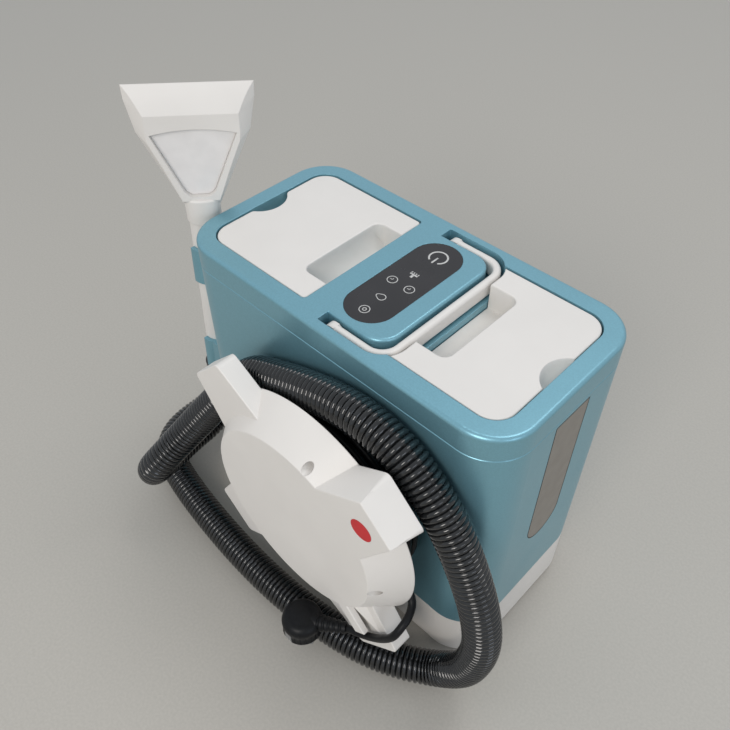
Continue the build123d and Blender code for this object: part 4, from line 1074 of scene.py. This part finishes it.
class WASHER_OT_window_joint(bpy.types.Operator):
    """Makes a strip of painted shade in the gap between the level window and the shell"""

    bl_idname = "washer.window_joint"
    bl_label = "Window joint"

    foot_points = 49

    def execute(self, context):
        half = sizes().window_shade_width / MM / 2
        shell = Shell()
        shell.grid(np.stack([self.outline(half), self.outline(-half)]), wrap_columns=True)
        # Painted shade: a thin black strip on the window's outline stands for the gap there, which is dark
        # from shade
        shade_strip = shell.piece("level_window_gap_shade", black_pvc_and_gap_shade(), outward=False)
        ink(shade_strip)
        seat(shade_strip, "base", "black_rubber")
        return {"FINISHED"}

    def outline(self, grow):
        """A closed row of points: a half circle round the foot, then the two corners of the top."""
        half = WINDOW_HALF + grow
        turn = np.linspace(np.pi, 2 * np.pi, self.foot_points)
        across = np.concatenate([half * np.cos(turn), [half, -half]])
        top = WINDOW_TOP + grow
        rise = np.concatenate([WINDOW_FOOT + half * np.sin(turn), [top, top]])
        return np.stack([np.full_like(across, WINDOW_FACE), across, rise], -1)


class WASHER_OT_panel_marks(bpy.types.Operator):
    """Makes the plain marks printed on the touch panel"""

    bl_idname = "washer.panel_marks"
    bl_label = "Panel marks"

    # Shares of the line's width, and radii in millimetres
    bold = 1.4
    fine = 0.65
    power_radius = 7.8
    ring_radius = 4.2
    dot_radius = 1.5
    drop_radius = 3.4
    # How far the drop's point stands out, as a share of its radius, and the power that narrows it
    drop_point = 0.55
    drop_power = 7
    # Angles of the power ring's two ends, and points along an arc and round the drop
    power_span = (-58.0, 238.0)
    arc_points = 73
    drop_points = 97
    # Strokes about a mark's middle, in millimetres: start and end, and for the nozzle the width
    power_stroke = ((0.0, -0.5), (0.0, -9.0))
    clock_hands = (((0.2, 0.0), (-2.2, 0.0)), ((0.0, -0.2), (0.0, 1.8)))
    nozzle_stem = ((0.0, -3.6), (0.0, -0.2), 2.2)
    nozzle_head = ((-3.8, 0.6), (3.8, 0.6), 1.6)
    nozzle_spray = [((x, 1.8), (x, 3.4), 1.0) for x in (-3.3, -1.1, 1.1, 3.3)]

    def execute(self, context):
        self.shell = Shell()
        bold = self.bold * sizes().mark_line / MM
        fine = self.fine * sizes().mark_line / MM
        self.arc(MARK_POWER, self.power_radius, bold, *self.power_span)
        self.bar(MARK_POWER, *self.power_stroke, bold)
        for stroke in (self.nozzle_stem, self.nozzle_head, *self.nozzle_spray):
            self.bar(MARK_NOZZLE, *stroke)
        for middle in MARK_TIMERS:
            self.arc(middle, self.ring_radius, fine)
            for hand in self.clock_hands:
                self.bar(middle, *hand, fine)
        self.drop(MARK_DROP, self.drop_radius, fine)
        for radius in (self.ring_radius, self.dot_radius):
            self.arc(MARK_RING, radius, fine)
        marks = self.shell.piece("panel_marks", panel_print(), outward=False)
        ink(marks)
        seat(marks, "base", "black_panel")
        return {"FINISHED"}

    def flat(self, inner, outer):
        """A strip on the panel's face between two rows of points."""
        strip = np.stack([outer, inner])
        level = np.full(strip.shape[:2] + (1,), PANEL_TOP)
        self.shell.grid(np.concatenate([strip, level], -1))

    def outline(self, middle, turn, reach, width):
        """A line of even width round a middle, at a distance for each angle."""
        way = np.stack([np.cos(turn), np.sin(turn)], -1)
        self.flat(middle + (reach - width / 2) * way, middle + (reach + width / 2) * way)

    def arc(self, middle, radius, width, start=0.0, end=360.0):
        """Part of a ring; its angles run from the panel's +X side."""
        turn = np.radians(np.linspace(start, end, self.arc_points))
        self.outline(middle, turn, radius, width)

    def bar(self, middle, start, end, width):
        """A straight stroke between two places about a middle."""
        start, end = np.add(middle, start), np.add(middle, end)
        way = (end - start) / np.linalg.norm(end - start)
        side = np.array((-way[1], way[0])) * width / 2
        self.flat(np.stack([start + side, end + side]), np.stack([start - side, end - side]))

    def drop(self, middle, radius, width):
        """A water drop: a circle whose radius swells towards -X by a high power of the cosine."""
        turn = np.linspace(0, 2 * np.pi, self.drop_points)
        point = np.clip(-np.cos(turn), 0.0, 1.0) ** self.drop_power
        self.outline(middle, turn, radius * (1 + self.drop_point * point)[:, None], width)


CLASSES = (
    WasherSizes,
    WasherColours,
    WASHER_OT_stage,
    WASHER_OT_finishes,
    WASHER_OT_suction_hose,
    WASHER_OT_plug,
    WASHER_OT_mains_cord,
    WASHER_OT_valve_spring,
    WASHER_OT_nozzle,
    WASHER_OT_window_joint,
    WASHER_OT_panel_marks,
)
# In this order, because the cord's step looks up the plug
STEPS = (
    "stage",
    "finishes",
    "suction_hose",
    "plug",
    "mains_cord",
    "valve_spring",
    "nozzle",
    "window_joint",
    "panel_marks",
)


class WASHER_PT_panel(bpy.types.Panel):
    """Lists the steps that build the machine"""

    bl_idname = "WASHER_PT_panel"
    bl_label = "Carpet washer"
    bl_space_type = "VIEW_3D"
    bl_region_type = "UI"
    bl_category = "Washer"

    def draw(self, context):
        for step in STEPS:
            self.layout.operator(f"washer.{step}")
        for group in (context.scene.washer_sizes, context.scene.washer_colours):
            column = self.layout.column()
            for name in group.__annotations__:
                column.prop(group, name)


def register():
    """Makes the classes and the scene's settings known to Blender."""
    for made in (*CLASSES, WASHER_PT_panel):
        bpy.utils.register_class(made)
    bpy.types.Scene.washer_sizes = bpy.props.PointerProperty(type=WasherSizes)
    bpy.types.Scene.washer_colours = bpy.props.PointerProperty(type=WasherColours)


def unregister():
    """Takes them away again."""
    del bpy.types.Scene.washer_sizes
    del bpy.types.Scene.washer_colours
    for made in reversed((*CLASSES, WASHER_PT_panel)):
        bpy.utils.unregister_class(made)


def main():
    """Builds every piece in order."""
    register()
    for step in STEPS:
        getattr(bpy.ops.washer, step)()


if __name__ == "__main__":
    main()
